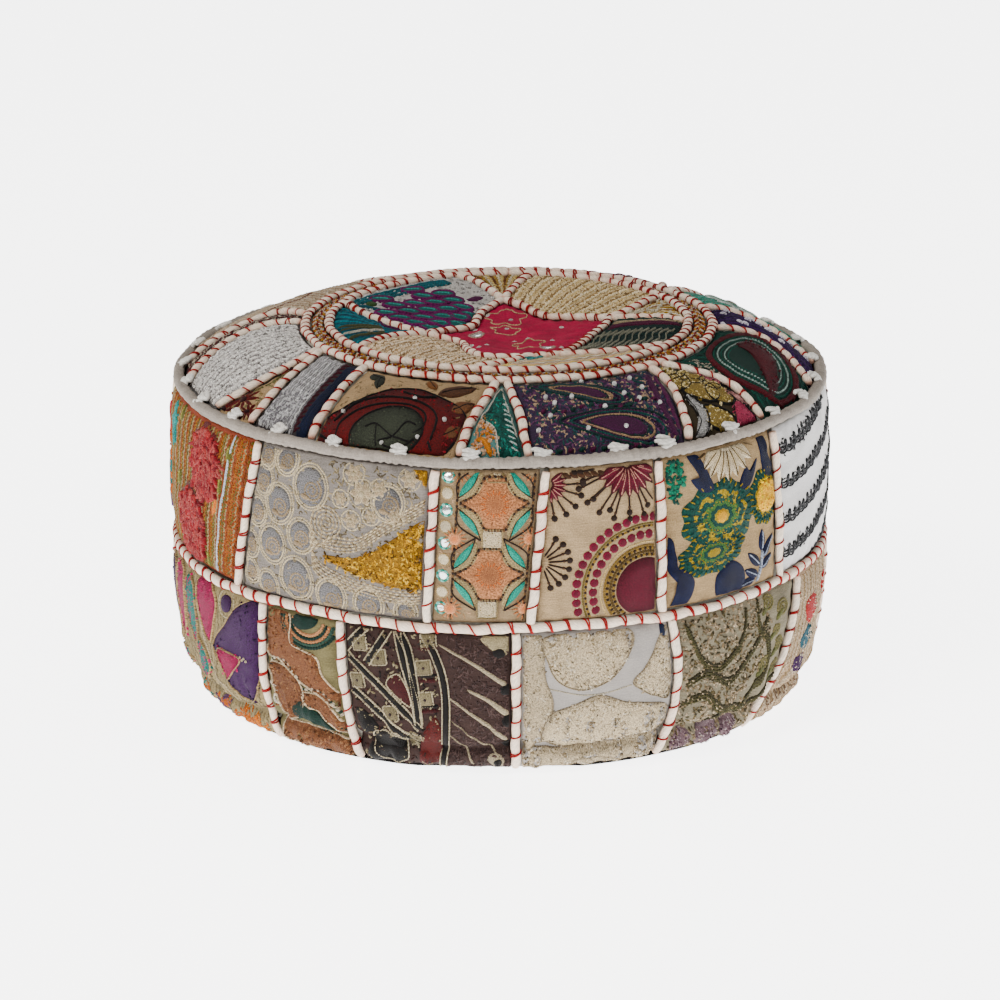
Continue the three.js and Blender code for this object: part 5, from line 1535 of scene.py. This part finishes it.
@art("seat_petal_rose")
def rose(e):
    crimson, olive, black = "#761a22", "#3b4032", "#120d0c"
    speckle(e, e.patch.outline, ("#b9a27e", "#96825f"), 220, 6, 0.7, lift=0.7)
    for a, b, wide, color in (((0.7, 0.28), (0.93, 0.14), 17, "#6b4630"),
                              ((0.86, 0.5), (0.99, 0.34), 15, "#7a5238"),
                              ((0.56, 0.08), (0.66, 0.2), 9, "#8a5c3a"),
                              ((0.10, 0.12), (0.24, 0.16), 12, olive),
                              ((0.2, 0.14), (0.24, 0.3), 9, olive),
                              ((0.88, 0.8), (0.99, 0.66), 12, "#7a5238")):
        leaf = spots(e, (a, b))
        e.leaf(leaf[0], leaf[1], wide, color, vein=black, height=1.9)
    m = spots(e, (0.5, 0.80))
    t = np.linspace(0, 2 * math.pi, 73)[:-1]
    petals = m + np.stack([np.cos(t) * 68, np.sin(t) * 54], -1) * (1 + 0.05 * np.sin(5 * t + 1))[:, None]
    e.fill(m, petals, crimson, "#611018", 2.2, 20)
    e.stroke(np.concatenate([petals, petals[:1]]), 1.0, black, height=2.4)
    speckle(e, petals, ("#8a262c", "#5d1118", "#98333a"), 520, 5, 0.7, 1.6, 2.7)
    for arc in (((0.09, 0.78), (0.2, 0.52), (0.42, 0.4), (0.66, 0.45), (0.8, 0.6), (0.82, 0.86)),
                ((0.16, 1.0), (0.16, 0.75), (0.3, 0.55), (0.52, 0.48), (0.70, 0.56), (0.74, 0.72),
                 (0.66, 0.84)),
                ((0.44, 0.3), (0.6, 0.36), (0.72, 0.34)), ((0.02, 0.92), (0.12, 0.98)),
                ((0.8, 0.86), (0.86, 1.0))):
        line(e, arc, 1.3, black, height=3.5)
    heart = m + np.stack([np.cos(t) * 33, np.sin(t) * 30 - 2], -1)
    e.fill(m, heart, "#4c5242", "#3b4032", 3.6, 60)
    speckle(e, heart, ("#5d6450", "#343a2c", "#757c64"), 300, 4, 0.7, 1.6, 4.0)
    e.stroke(np.concatenate([heart, heart[:1]]), 1.1, black, height=4.0)
    for arc in (((0.34, 0.8), (0.42, 0.75), (0.56, 0.86), (0.7, 0.9)),
                ((0.42, 0.75), (0.46, 0.95), (0.52, 1.0)),
                ((0.46, 0.92), (0.56, 0.86), (0.62, 0.7), (0.7, 0.72)),
                ((0.5, 0.95), (0.62, 0.96), (0.72, 0.86))):
        line(e, arc, 1.0, black, height=5.0)
    for u, v in ((0.58, 0.40), (0.5, 0.93), (0.73, 0.84), (0.86, 0.62), (0.13, 0.66)):
        e.disc(spots(e, (u, v)), 1.9, "#e9e6df", height=5.0, kind="metal", sides=8)


@art("seat_wedge_teal_feather")
def teal_feather(e):
    teal = ("#0f5f55", "#16756a", "#0c4a44", "#2b8f80")
    body = shape(e, ((0.42, 0.12), (0.75, 0.3), (0.92, 0.7), (0.97, 0.98), (0.6, 0.99), (0.5, 0.7),
                     (0.12, 0.55), (0.2, 0.4)),
                 "#0f5f55", height=1.5, outline="#c9c2b4", width=0.8)
    speckle(e, body, teal, 240, 8, 1.1, 0.6, 2.2, heading=-60)
    for k in range(9):
        line(e, ((0.62 + 0.02 * k, 0.38 + 0.065 * k), (0.92, 0.42 + 0.065 * k)), 0.8, "#b9c9c2", height=3.0)
    speckle(e, e.patch.at(np.array([0.02, 0.5, 0.55, 0.02]), np.array([0.5, 0.6, 0.98, 0.98])),
            ("#c98f6c", "#d6b394", "#c47f3c"), 120, 7, 1.0, 1.6, 2.0)
    line(e, ((0.05, 0.8), (0.3, 0.82), (0.45, 0.97)), 2.6, "#c47f3c", height=2.8)


@art("seat_petal_purple_paisley")
def purple_paisley(e):
    shades = ("#6f4468", "#2f6360", "#85527c", "#c0a288", "#4c4868")
    speckle(e, e.patch.outline, shades, 1700, 7, 0.75, 1.1, 1.2)
    for middle, wide, tall, turn in (((0.56, 0.72), 52, 24, 8), ((0.4, 0.24), 46, 15, -6)):
        m = spots(e, middle)
        e.fill(m, ovals(m, wide * 0.55, tall * 0.5, turn), "#561d4a", height=1.8)
        for k in range(7):
            grow = 0.42 + 0.1 * k
            t = np.linspace(0, 2 * math.pi, 70)
            loop = np.stack([wide * grow * np.cos(t), tall * grow * np.sin(t) * (0.75 + 0.4 * np.cos(t))],
                            -1)
            e.stroke(m + turned(loop, turn), 1.15,
                     ("#5d2a55", "#10403c", "#a98a6c", "#3b1a44", "#1b5650")[k % 5],
                     height=2.0, bead=2.8 if k % 2 else 0)
    line(e, ((0.93, 0.1), (0.88, 0.5), (0.95, 0.97)), 3.4, "#561d4a", height=2.4)
    line(e, ((0.985, 0.1), (0.95, 0.5), (0.99, 0.97)), 2.4, "#6b2a58", height=2.2)
    for k in range(13):
        leaf = spots(e, (0.1 + 0.06 * k, 0.5 + 0.03 * math.sin(k)))
        e.leaf(leaf, leaf + (5, 4), 3.6, ("#5d1a44", "#0f4038")[k % 2], height=2.6)
    for k in range(11):
        leaf = spots(e, (0.14 + 0.07 * k, 0.95))
        e.leaf(leaf, leaf + (6, 3), 4.0, ("#0f4038", "#5d1a44")[k % 2], height=2.2)
    for u, v in ((0.16, 0.31), (0.2, 0.4), (0.32, 0.33), (0.45, 0.08), (0.64, 0.2), (0.78, 0.13),
                 (0.8, 0.32), (0.66, 0.36),
                 (0.74, 0.46), (0.87, 0.55), (0.15, 0.56), (0.06, 0.72), (0.36, 0.74), (0.6, 0.76),
                 (0.5, 0.5)):
        e.disc(spots(e, (u, v)), 2.0, "#eceae6", height=4.2, kind="metal", sides=8)


@art("seat_wedge_gold_scales")
def gold_scales(e):
    gold = ("#c2ac68", "#e0ca8c", "#8f783e", "#eedcae")
    for u, v, wide, tall in ((0.35, 0.14, 14, 13), (0.6, 0.3, 13, 12), (0.4, 0.5, 17, 15),
                             (0.66, 0.62, 14, 13),
                             (0.4, 0.85, 18, 14), (0.2, 0.32, 9, 12), (0.72, 0.46, 10, 9)):
        m = spots(e, (u, v))
        scale = ovals(m, wide, tall, 30 * u)
        e.fill(m, scale, "#967f48", height=1.8)
        speckle(e, scale, gold, 110, 5, 0.85, 2.2, 2.3)
        e.stroke(scale[np.r_[0:28, 0]], 1.0, "#15110c", height=2.4)
    for places, shades in ((((0.05, 0.5), (0.2, 0.62), (0.27, 0.8), (0.2, 0.96), (0.05, 0.97), (0.14, 0.85),
                             (0.12, 0.68)),
                            ("#b9b7b4", "#93918e", "#d4d2cf")),
                           (((0.68, 0.84), (0.8, 0.74), (0.95, 0.98), (0.64, 0.99)),
                            ("#a8455c", "#bf6076", "#8c3048")),
                           (((0.8, 0.6), (0.93, 0.72), (0.95, 0.84), (0.82, 0.76)), ("#c08a84", "#a8706c")),
                           (((0.8, 0.36), (0.9, 0.34), (0.94, 0.5), (0.86, 0.5)), ("#b05a68", "#c27a80"))):
        m = shape(e, places, shades[0], height=2.4, outline="#15110c", width=0.8)
        speckle(e, m, shades, 90, 5, 0.8, 2.0, 3.0)


@art("seat_petal_emerald_teardrop")
def emerald_teardrop(e):
    green, crimson = "#0c3d34", "#5e0f26"
    moss_all(e, ("#0f4a40", "#0b3a33", "#155a4c"), 3.2, 1.1, 0.8, 9)
    ring = ((0.55, 0.06), (0.83, 0.16), (0.93, 0.42), (0.9, 0.7), (0.70, 0.93), (0.32, 0.97), (0.12, 0.75),
            (0.05, 0.45),
            (0.22, 0.18))
    loop = curve(spots(e, ring), closed=True)
    e.fill(loop.mean(0), loop, green, height=1.8, grain=30)
    for grow in (1.0, 0.965, 0.93):
        ahead = loop.mean(0) + (loop - loop.mean(0)) * grow
        e.stroke(np.concatenate([ahead, ahead[:1]]), 1.5, crimson, height=2.9)
    for grow in (0.86, 0.78, 0.70, 0.62, 0.54):
        ahead = loop.mean(0) + (loop - loop.mean(0)) * grow
        e.stroke(np.concatenate([ahead, ahead[:1]]), 0.9, ("#9fb5ac", "#175a4c")[int(grow * 100) % 16 < 8],
                 bead=3.0,
                 height=2.9)
    drop = shape(e, ((0.6, 0.24), (0.74, 0.36), (0.66, 0.6), (0.4, 0.8), (0.2, 0.86), (0.34, 0.62),
                     (0.5, 0.4)),
                 crimson, "#4a0a1e", height=3.4, grain=75)
    speckle(e, drop, ("#6e1830", "#4a0a1e"), 120, 5, 0.8, 0.9, 3.9)
    speckle(e, e.patch.at(np.array([0.02, 0.18, 0.12, 0.02]), np.array([0.1, 0.1, 0.4, 0.35])),
            ("#b8ac98", "#cbb9a4"), 40, 6, 0.9)


@art("seat_wedge_violet")
def violet(e):
    moss_all(e, ("#371650", "#4a2068", "#2c1042"), 3.0, 1.1, 0.9, 8)
    for k in range(16):
        leaf = spots(e, (0.15 + 0.7 * e.draw.random(), 0.06 * k + 0.04))
        e.leaf(leaf, leaf + (6, -4), 2.6, "#d6cfdc", height=2.6)


@art("seat_petal_mint")
def mint(e):
    moss_all(e, ("#3a9a82", "#2c846e", "#54b29a", "#8a9a94"), 2.8, 1.0)
    e.flower(spots(e, (0.5, 0.55)), 26, 9, "#1f7a66", "#c7d2c8", 6, "#9a9a8c", height=2.4)


@art("seat_wedge_rust")
def rust(e):
    moss_all(e, ("#8c4a35", "#a86a48", "#6b3424"), 2.8, 1.0)


@art("seat_petal_plum")
def plum(e):
    moss_all(e, ("#5b2747", "#6f3558", "#431a34"), 2.8, 1.0)
    for u, v in ((0.3, 0.5), (0.7, 0.45), (0.5, 0.75)):
        e.flower(spots(e, (u, v)), 18, 8, "#a98a94", "#7c4560", 4, "#c8a24a", height=2.2)
        e.sequin(spots(e, (u + 0.08, v - 0.2)), 2.0)


@art("seat_petal_pink")
def pink(e):
    moss_all(e, ("#b98a88", "#c9a29c", "#a07070"), 2.8, 1.0)
    for k in range(5):
        e.spiral(spots(e, (0.14 + 0.18 * k, 0.55)), 12, 2.5, 1.5, "#7c4048", bead=3)


@art("seat_petal_beige_sequin")
def beige_sequin(e):
    moss_all(e, ("#c4ac93", "#ad9274", "#d2c0a6"), 2.8, 1.0)
    for k in range(22):
        e.sequin(spots(e, (0.08 + 0.04 * k, 0.5 + 0.3 * math.sin(k * 1.1))), 2.1, "#d8d2c6")
    line(e, ((0.05, 0.3), (0.3, 0.7), (0.6, 0.3), (0.95, 0.7)), 1.8, "#7c4a40", bead=3.4)


@art("ring_band_braid")
def braid(e):
    colors = ("#3b2f22", "#6b1f22", "#8a5a2c", "#4a4a30")
    for k, v in enumerate((0.18, 0.4, 0.62, 0.84)):
        path = spots(e, np.stack([np.linspace(0.001, 0.999, 700), np.full(700, v)], -1))
        e.stroke(path, 1.35, colors[k], height=0.8, margin=0.6)
    t = np.linspace(0.002, 0.998, 2400)
    zigzag = spots(e, np.stack([t, 0.5 + 0.36 * np.sin(2 * math.pi * 74 * t)], -1))
    e.stroke(zigzag, 1.0, "#8f2f26", height=2.0, bead=2.6, second="#b98a4a", margin=0.6)
    zagzig = spots(e, np.stack([t, 0.5 - 0.3 * np.sin(2 * math.pi * 74 * t)], -1))
    e.stroke(zagzig, 0.85, "#cfc4b4", height=1.7, bead=2.2, margin=0.6)
    for k in range(74):
        e.disc(spots(e, ((k + 0.25) / 74, 0.5)), 1.5, ("#b98a4a", "#7d1c22", "#5a5c38")[k % 3], height=2.2,
               sides=7)


# Seat, inside the ring
@art("centre_petal_sand")
def sand(e):
    moss_all(e, ("#e0c4a0", "#ccae88", "#ecd6b8", "#a2825c"), 3.4, 1.2, 2.0, 4.6)
    speckle(e, e.patch.outline, ("#eed6b4", "#8c6a44", "#dabf9a", "#f4e4ca"), 1200, 4, 0.85, 2.2, 1.5)


@art("centre_petal_cream")
def cream_stripes(e):
    for k, color in enumerate(("#d9cbb0", "#cf9f86", "#d8bb72", "#c8b898", "#e2d8c4", "#b59a78")):
        e.rows(color, count=4, width=1.1, wiggle=0.5, wave=15, across=True,
               span=(0.03 + 0.03 * k, 0.82 + 0.03 * k))
    speckle(e, e.patch.at(np.array([0.03, 0.3, 0.3, 0.03]), np.array([0.05, 0.05, 0.4, 0.4])),
            ("#3f8a88", "#5da09a"), 26, 8, 1.0, 0.4, 2.2)


@art("centre_petal_dark_teal")
def dark_teal(e):
    moss_all(e, ("#16352f", "#1c423b", "#10292a"), 2.8, 1.1, 1.0, 8)
    for k in range(12):
        v = 0.1 + 0.07 * k
        line(e, ((0.05, v), (0.25, v + 0.04), (0.45, v - 0.02), (0.62, v + 0.03)), 0.6, "#a3a18c",
             height=2.6)
    for u, color in ((0.76, "#5e2440"), (0.81, "#5e2440"), (0.88, "#a8977a"), (0.94, "#1c423b")):
        line(e, ((u, 0.02), (u, 0.5), (u + 0.02, 0.98)), 2.2, color, height=2.4)


@art("centre_wedge_gold")
def gold_wedge(e):
    moss_all(e, ("#b08a3e", "#d4c39a", "#8a5a34", "#e2d8c0"), 2.4, 0.95)
    for k in range(12):
        e.disc(spots(e, (e.draw.uniform(0.2, 0.8), 0.3 + 0.055 * k)), 1.7, "#f0e6cc", height=2.6,
               kind="metal", sides=7)


@art("centre_petal_khaki")
def khaki(e):
    moss_all(e, ("#e0c69a", "#ceb280", "#ecd8b0", "#a88a5e"), 3.4, 1.2, 2.0, 4.6)
    speckle(e, e.patch.outline, ("#ecd4a8", "#86663e", "#d6ba88", "#f2e0bc"), 1200, 4, 0.85, 2.2, 1.5)


@art("centre_wedge_gold_back")
def gold_back(e):
    moss_all(e, ("#a8884e", "#7a4a2e", "#c9b078", "#d8c9a8"), 2.4, 0.95)


@art("centre_petal_peacock")
def peacock(e):
    speckle(e, e.patch.outline, ("#c9c5c0", "#a9a5a2", "#dad7d2"), 700, 6, 0.9, 2.0, 1.3)
    for row in range(5):
        for k in range(4 + row % 2):
            u = 0.30 + 0.145 * row
            v = 0.06 + 0.155 * k + 0.07 * (row % 2)
            m = spots(e, (u, v))
            feather = ovals(m, 11, 7, 10)
            e.fill(m, feather, "#1a6664", "#227a74", 2.4, 100)
            e.stroke(feather[np.r_[0:28, 0]], 1.3, "#7c2c68", height=3.0)
            e.stroke([m + (-7, 0), m + (7, 0)], 0.8, "#4fa89c", height=3.4)
    for off in (0, 0.05, 0.1):
        line(e, ((0.95, 0.95 - off), (0.7, 0.86 - off), (0.4, 0.84 - off), (0.15, 0.8 - off)), 1.7,
             "#10707a", height=2.4)
    line(e, ((0.97, 0.9), (0.9, 0.7), (0.86, 0.5)), 2.4, "#155a66", height=2.4)
    e.disc(spots(e, (0.85, 0.74)), 5, "#4c6a3c", height=2.6)
    e.leaf(spots(e, (0.08, 0.2)), spots(e, (0.2, 0.3)), 9, "#5e1d4e")


@art("centre_wedge_teal")
def teal_wedge(e):
    moss_all(e, ("#136a78", "#1b8390", "#0f5566"), 2.6, 1.1, 0.6, 9)
    line(e, ((0.05, 0.5), (0.25, 0.45), (0.4, 0.4), (0.5, 0.25)), 1.8, "#5e1d4e", height=2.6)
    for off in (0.0, 0.07, 0.28):
        line(e, ((0.55 + off, 0.95), (0.55 + off, 0.7), (0.5 + off, 0.45)), 2.2, "#5c5f3e", height=2.4)
    line(e, ((0.7, 0.95), (0.72, 0.7), (0.66, 0.45)), 1.6, "#b9b2a2", height=2.4)


@art("centre_star_crimson")
def crimson_star(e):
    silver = "#e6e4de"
    for u, v, size in ((0.277, 0.42, 6.2), (0.577, 0.70, 6.2)):
        e.mirror(spots(e, (u, v)), size, "#b99a8c")
    for u, v in ((0.161, 0.88), (0.044, 0.9), (0.379, 0.88), (0.422, 0.78), (0.424, 0.58), (0.64, 0.62),
                 (0.595, 0.85),
                 (0.545, 0.9), (0.985, 0.56), (0.004, 0.25), (0.538, 0.17), (0.623, 0.28), (0.8, 0.6),
                 (0.2, 0.6)):
        e.sequin(spots(e, (u, v)), 2.3, silver)
    for center, radius in (((0.0, 0.55), 17), ((0.56, 0.42), 13), ((0.02, 0.2), 12)):
        m = spots(e, center)
        t = np.linspace(0, 2 * math.pi, 50)
        petal = m + np.stack([np.cos(t), np.sin(t)], -1) * (radius * (1 + 0.22 * np.sin(5 * t)))[:, None]
        e.stroke(petal, 0.6, "#c9b28c", bead=2.2, height=1.0)


# Back of the pouf, in the same hand
def lattice(e, ground, threads, flower_color, heart, step=30, size=11):
    moss_all(e, ground, 4.4, 1.2)
    low, high = e.patch.outline.min(0), e.patch.outline.max(0)
    for j, y in enumerate(np.arange(low[1] + step * 0.5, high[1], step)):
        for k, x in enumerate(np.arange(low[0] + step * (0.5 + 0.5 * (j % 2)), high[0], step)):
            m = np.array([x, y])
            if (j + k) % 2:
                e.flower(m, size, 8, flower_color, threads[0], size * 0.28, heart, height=2.2, start=15 * k)
            else:
                e.spiral(m, size, 2.6, 1.4, threads[1], bead=3, start=40 * k)
            e.sequin(m + (step * 0.5, 0), 1.9)


BACKS = {
    "rust_scrolls": (("#8e4d37", "#a8644a"), ("#c98a4a", "#d8b078"), "#2f6a5c", "#d8b078"),
    "ivory_lattice": (("#cfc3ad", "#bcae94"), ("#a8977a", "#dcd4c4"), "#b08a66", "#8c4a35"),
    "navy_blossom": (("#29385a", "#1c2846"), ("#c9b28c", "#8a9ab8"), "#a8455c", "#d8b24a"),
    "olive_vine": (("#6c6a3f", "#5a5832"), ("#b8ab7c", "#8a8a54"), "#9c3a30", "#d8c08a"),
    "pink_tufts": (("#c09090", "#a87474"), ("#8c4a58", "#d8b8b0"), "#7a2c44", "#d8c08a"),
    "teal_paisley": (("#2e6b68", "#245654"), ("#9fb8a8", "#c9a24a"), "#5b2747", "#c9a24a"),
    "crimson_floral": (("#8c2b38", "#72202c"), ("#d8b078", "#c98a8c"), "#3a4a2c", "#d8b24a"),
    "mustard_waves": (("#b08a3e", "#967230"), ("#6b3a24", "#d8c08a"), "#7a2c2c", "#3a2a20"),
}
for back_name, back_colors in BACKS.items():
    ART[back_name] = lambda e, colors=back_colors: lattice(e, *colors)


# ---------------------------------------------------------------- the patches and their grounds
OUTER_PATCHES = (
    ("seat_wedge_maroon_zigzag", "wedge0", "s1", "#4a2a30"),
                 ("seat_petal_silver_moss", "s1", "a", "#6f6a68"),
    ("seat_wedge_tan_floral", "a", "b", "#b19674"), ("seat_petal_grey_couched", "b", "c", "#4c4648"),
    ("seat_petal_rose", "c", "d", "#a98f6e"), ("seat_wedge_teal_feather", "d", "e", "#5d8a86"),
    ("seat_petal_purple_paisley", "e", "f", "#4a3a54"), ("seat_wedge_gold_scales", "f", "g", "#4a4030"),
    ("seat_petal_emerald_teardrop", "g", "h", "#0f4a41"), ("seat_wedge_violet", "h", "v", "#3d2357"),
    ("seat_petal_mint", "v", "mint", "#4fb49a"), ("seat_wedge_rust", "mint", "m2", "#8c4a35"),
    ("seat_petal_plum", "m2", "plum", "#5b2747"), ("seat_petal_pink", "plum", "pink", "#b98a88"),
    ("seat_petal_beige_sequin", "pink", "wedge0", "#c4ac93"),
)
INNER_PATCHES = (
    ("centre_petal_sand", "tealLow", "sandCream", "#cfb492"),
    ("centre_petal_cream", "sandCream", "creamDark", "#d8c8aa"),
    ("centre_petal_dark_teal", "creamDark", "goldLow", "#254544"),
    ("centre_wedge_gold", "goldLow", "goldHigh", "#b08d52"),
    ("centre_petal_khaki", "goldHigh", "khaki", "#cfb78e"),
    ("centre_wedge_gold_back", "khaki", "peacock", "#a8884e"),
    ("centre_petal_peacock", "peacock", "tealHigh", "#b9b4ae"),
    ("centre_wedge_teal", "tealHigh", "tealLow", "#2b6f74"),
)
UPPER_PATCHES = (
    ("coral_shaggy", "shaggy", "ab", "#8d4a3a"), ("cream_paisley", "ab", "bc", "#8f8780"),
    ("peach_tiles", "bc", "cd", "#968064"), ("crimson_sun", "cd", "de", "#aa9272"),
    ("green_peony", "de", "ef", "#a58c6a"), ("silver_satin", "ef", "satin", "#c9c6c4"),
    ("rust_scrolls", "satin", "back1", "#8e4d37"), ("ivory_lattice", "back1", "back2", "#cfc3ad"),
    ("navy_blossom", "back2", "back3", "#29385a"), ("olive_vine", "back3", "shaggy", "#6c6a3f"),
)
LOWER_PATCHES = (
    ("magenta_felt", "magenta", "gh", "#9a8a68"), ("salmon_flowers", "gh", "hi", "#7f7654"),
    ("black_maroon", "hi", "ij", "#4a3834"), ("ivory_lace", "ij", "jk", "#a59e97"),
    ("khaki_scrolls", "jk", "kl", "#8f8670"), ("beige_mix", "kl", "lm", "#b59a80"),
    ("pink_tufts", "lm", "back1", "#c09090"), ("teal_paisley", "back1", "back2", "#2e6b68"),
    ("crimson_floral", "back2", "back3", "#8c2b38"), ("mustard_waves", "back3", "magenta", "#b08a3e"),
)
SATINS = {"silver_satin": (0.25, 0.8), "ivory_lace": (0.15, 0.8), "centre_star_crimson": (0.06, 0.5)}


def smallest_cut(outline):
    """Width and length of the smallest rectangle the cut fits, in metres."""
    best = None
    for turn in range(0, 90, 3):
        size = np.ptp(turned(outline, turn), axis=0) * MM
        if best is None or size[0] * size[1] < best[0] * best[1]:
            best = size
    return tuple(float(x) for x in best)


def sew(patch, node_name, color):
    """One patch: its cloth, its embroidery, and the size and area of its flat cut."""
    key = patch.name.replace("upper_patch_", "").replace("lower_patch_", "")
    if key in SATINS:
        gloss, shade = SATINS[key]
        material = cloth_material(node_name, color, shade=shade, thread=0.7, sheen=0.0, roughness=0.5,
                                  weave=0.12, slub=0.12, gloss=gloss)
    else:
        material = cloth_material(node_name, color)
    cloth = patch.cloth(material)
    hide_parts(node_name)
    work = Embroidery(patch)
    ART[key](work)
    stitches = work.finish()
    flat, area = smallest_cut(patch.outline), patch.flat_area()
    if key == "ring_band_braid":
        flat, area = (0.0144, 1.105), None


def build_cover():
    for name, left, right, color in OUTER_PATCHES:
        place = outer_place(OUTER_SEAMS[left], OUTER_SEAMS[right])
        sew(Patch(name, place, on_seat, crown=3.2, pitch=14), name, color)
    for name, left, right, color in INNER_PATCHES:
        wrap = 360 if INNER_SEAMS[right][0] < INNER_SEAMS[left][0] else 0
        place = inner_place(INNER_SEAMS[left], INNER_SEAMS[right], wrap)
        sew(Patch(name, place, on_seat, crown=2.6, pitch=12), name, color)
    for name, left, right, color in UPPER_PATCHES:
        place = side_place(UPPER_SEAMS[left], UPPER_SEAMS[right], MID_SEAM + 4.5, 291)
        sew(Patch("upper_patch_" + name, place, on_side, pitch=17), "upper_patch_" + name, color)
    for name, left, right, color in LOWER_PATCHES:
        place = side_place(LOWER_SEAMS[left], LOWER_SEAMS[right], 1.0, MID_SEAM - 4.5)
        sew(Patch("lower_patch_" + name, place, on_side, pitch=17, gather=True), "lower_patch_" + name,
            color)
    star = Patch("centre_star_crimson", star_place, on_seat, crown=2.4, pitch=12, wrinkle=2.4, whole=True)
    sew(star, "centre_star_crimson", "#9a0c48")

    def band(u, v):
        return seat_xy(-180 + 360 * np.asarray(u, float), 168.6 + 14.4 * np.asarray(v, float))
    sew(Patch("ring_band_braid", band, on_seat, crown=1.5, pucker=0.6), "ring_band_braid", "#4b3b28")


# ---------------------------------------------------------------- camera, floor and light
def look():
    camera_data = bpy.data.cameras.new("camera")
    camera = bpy.data.objects.new("camera", camera_data)
    bpy.context.scene.collection.objects.link(camera)
    bpy.context.scene.camera = camera
    tilt, distance, aim = math.radians(17.23), 6.0, 0.1715
    camera.location = (0, -distance * math.cos(tilt), aim + distance * math.sin(tilt))
    camera.rotation_euler = (math.pi / 2 - tilt, 0, 0)
    camera_data.lens = 233.4
    camera_data.sensor_width = 36

    bpy.ops.mesh.primitive_plane_add(size=30, location=(0, 0, -0.0005))
    floor = bpy.context.object
    floor.name = "studio_floor"
    material, nodes, _ = new_material("studio_floor")
    shader = nodes["Principled BSDF"]
    shader.inputs["Base Color"].default_value = (0.86, 0.86, 0.86, 1)
    shader.inputs["Roughness"].default_value = 0.3
    shader.inputs["Emission Color"].default_value = (1, 1, 1, 1)
    shader.inputs["Emission Strength"].default_value = 5.0
    floor.data.materials.append(material)

    world = bpy.data.worlds.new("studio")
    bpy.context.scene.world = world
    world.use_nodes = True
    world.node_tree.nodes["Background"].inputs[0].default_value = (1, 0.985, 0.965, 1)
    world.node_tree.nodes["Background"].inputs[1].default_value = 0.35
    for name, place, size, power, warmth in (
            ("key", (-1.6, -2.0, 2.6), 1.1, 125, (1, 0.96, 0.9)),
            ("fill", (2.6, -1.6, 1.6), 1.8, 22, (0.97, 0.98, 1)),
            ("top", (0.2, 0.9, 2.8), 1.6, 34, (1, 1, 1))):
        light_data = bpy.data.lights.new(name, "AREA")
        light_data.energy = power
        light_data.size = size
        light_data.color = warmth
        light = bpy.data.objects.new(name, light_data)
        light.location = place
        towards = -np.array([place[0], place[1], place[2] - 0.15])
        light.rotation_euler = (math.atan2(math.hypot(towards[0], towards[1]), -towards[2]), 0,
                                math.atan2(-towards[0], towards[1]))
        bpy.context.scene.collection.objects.link(light)


build_cover()
build_cords()
build_piping()
build_base()
build_zip()
build_filling()
look()
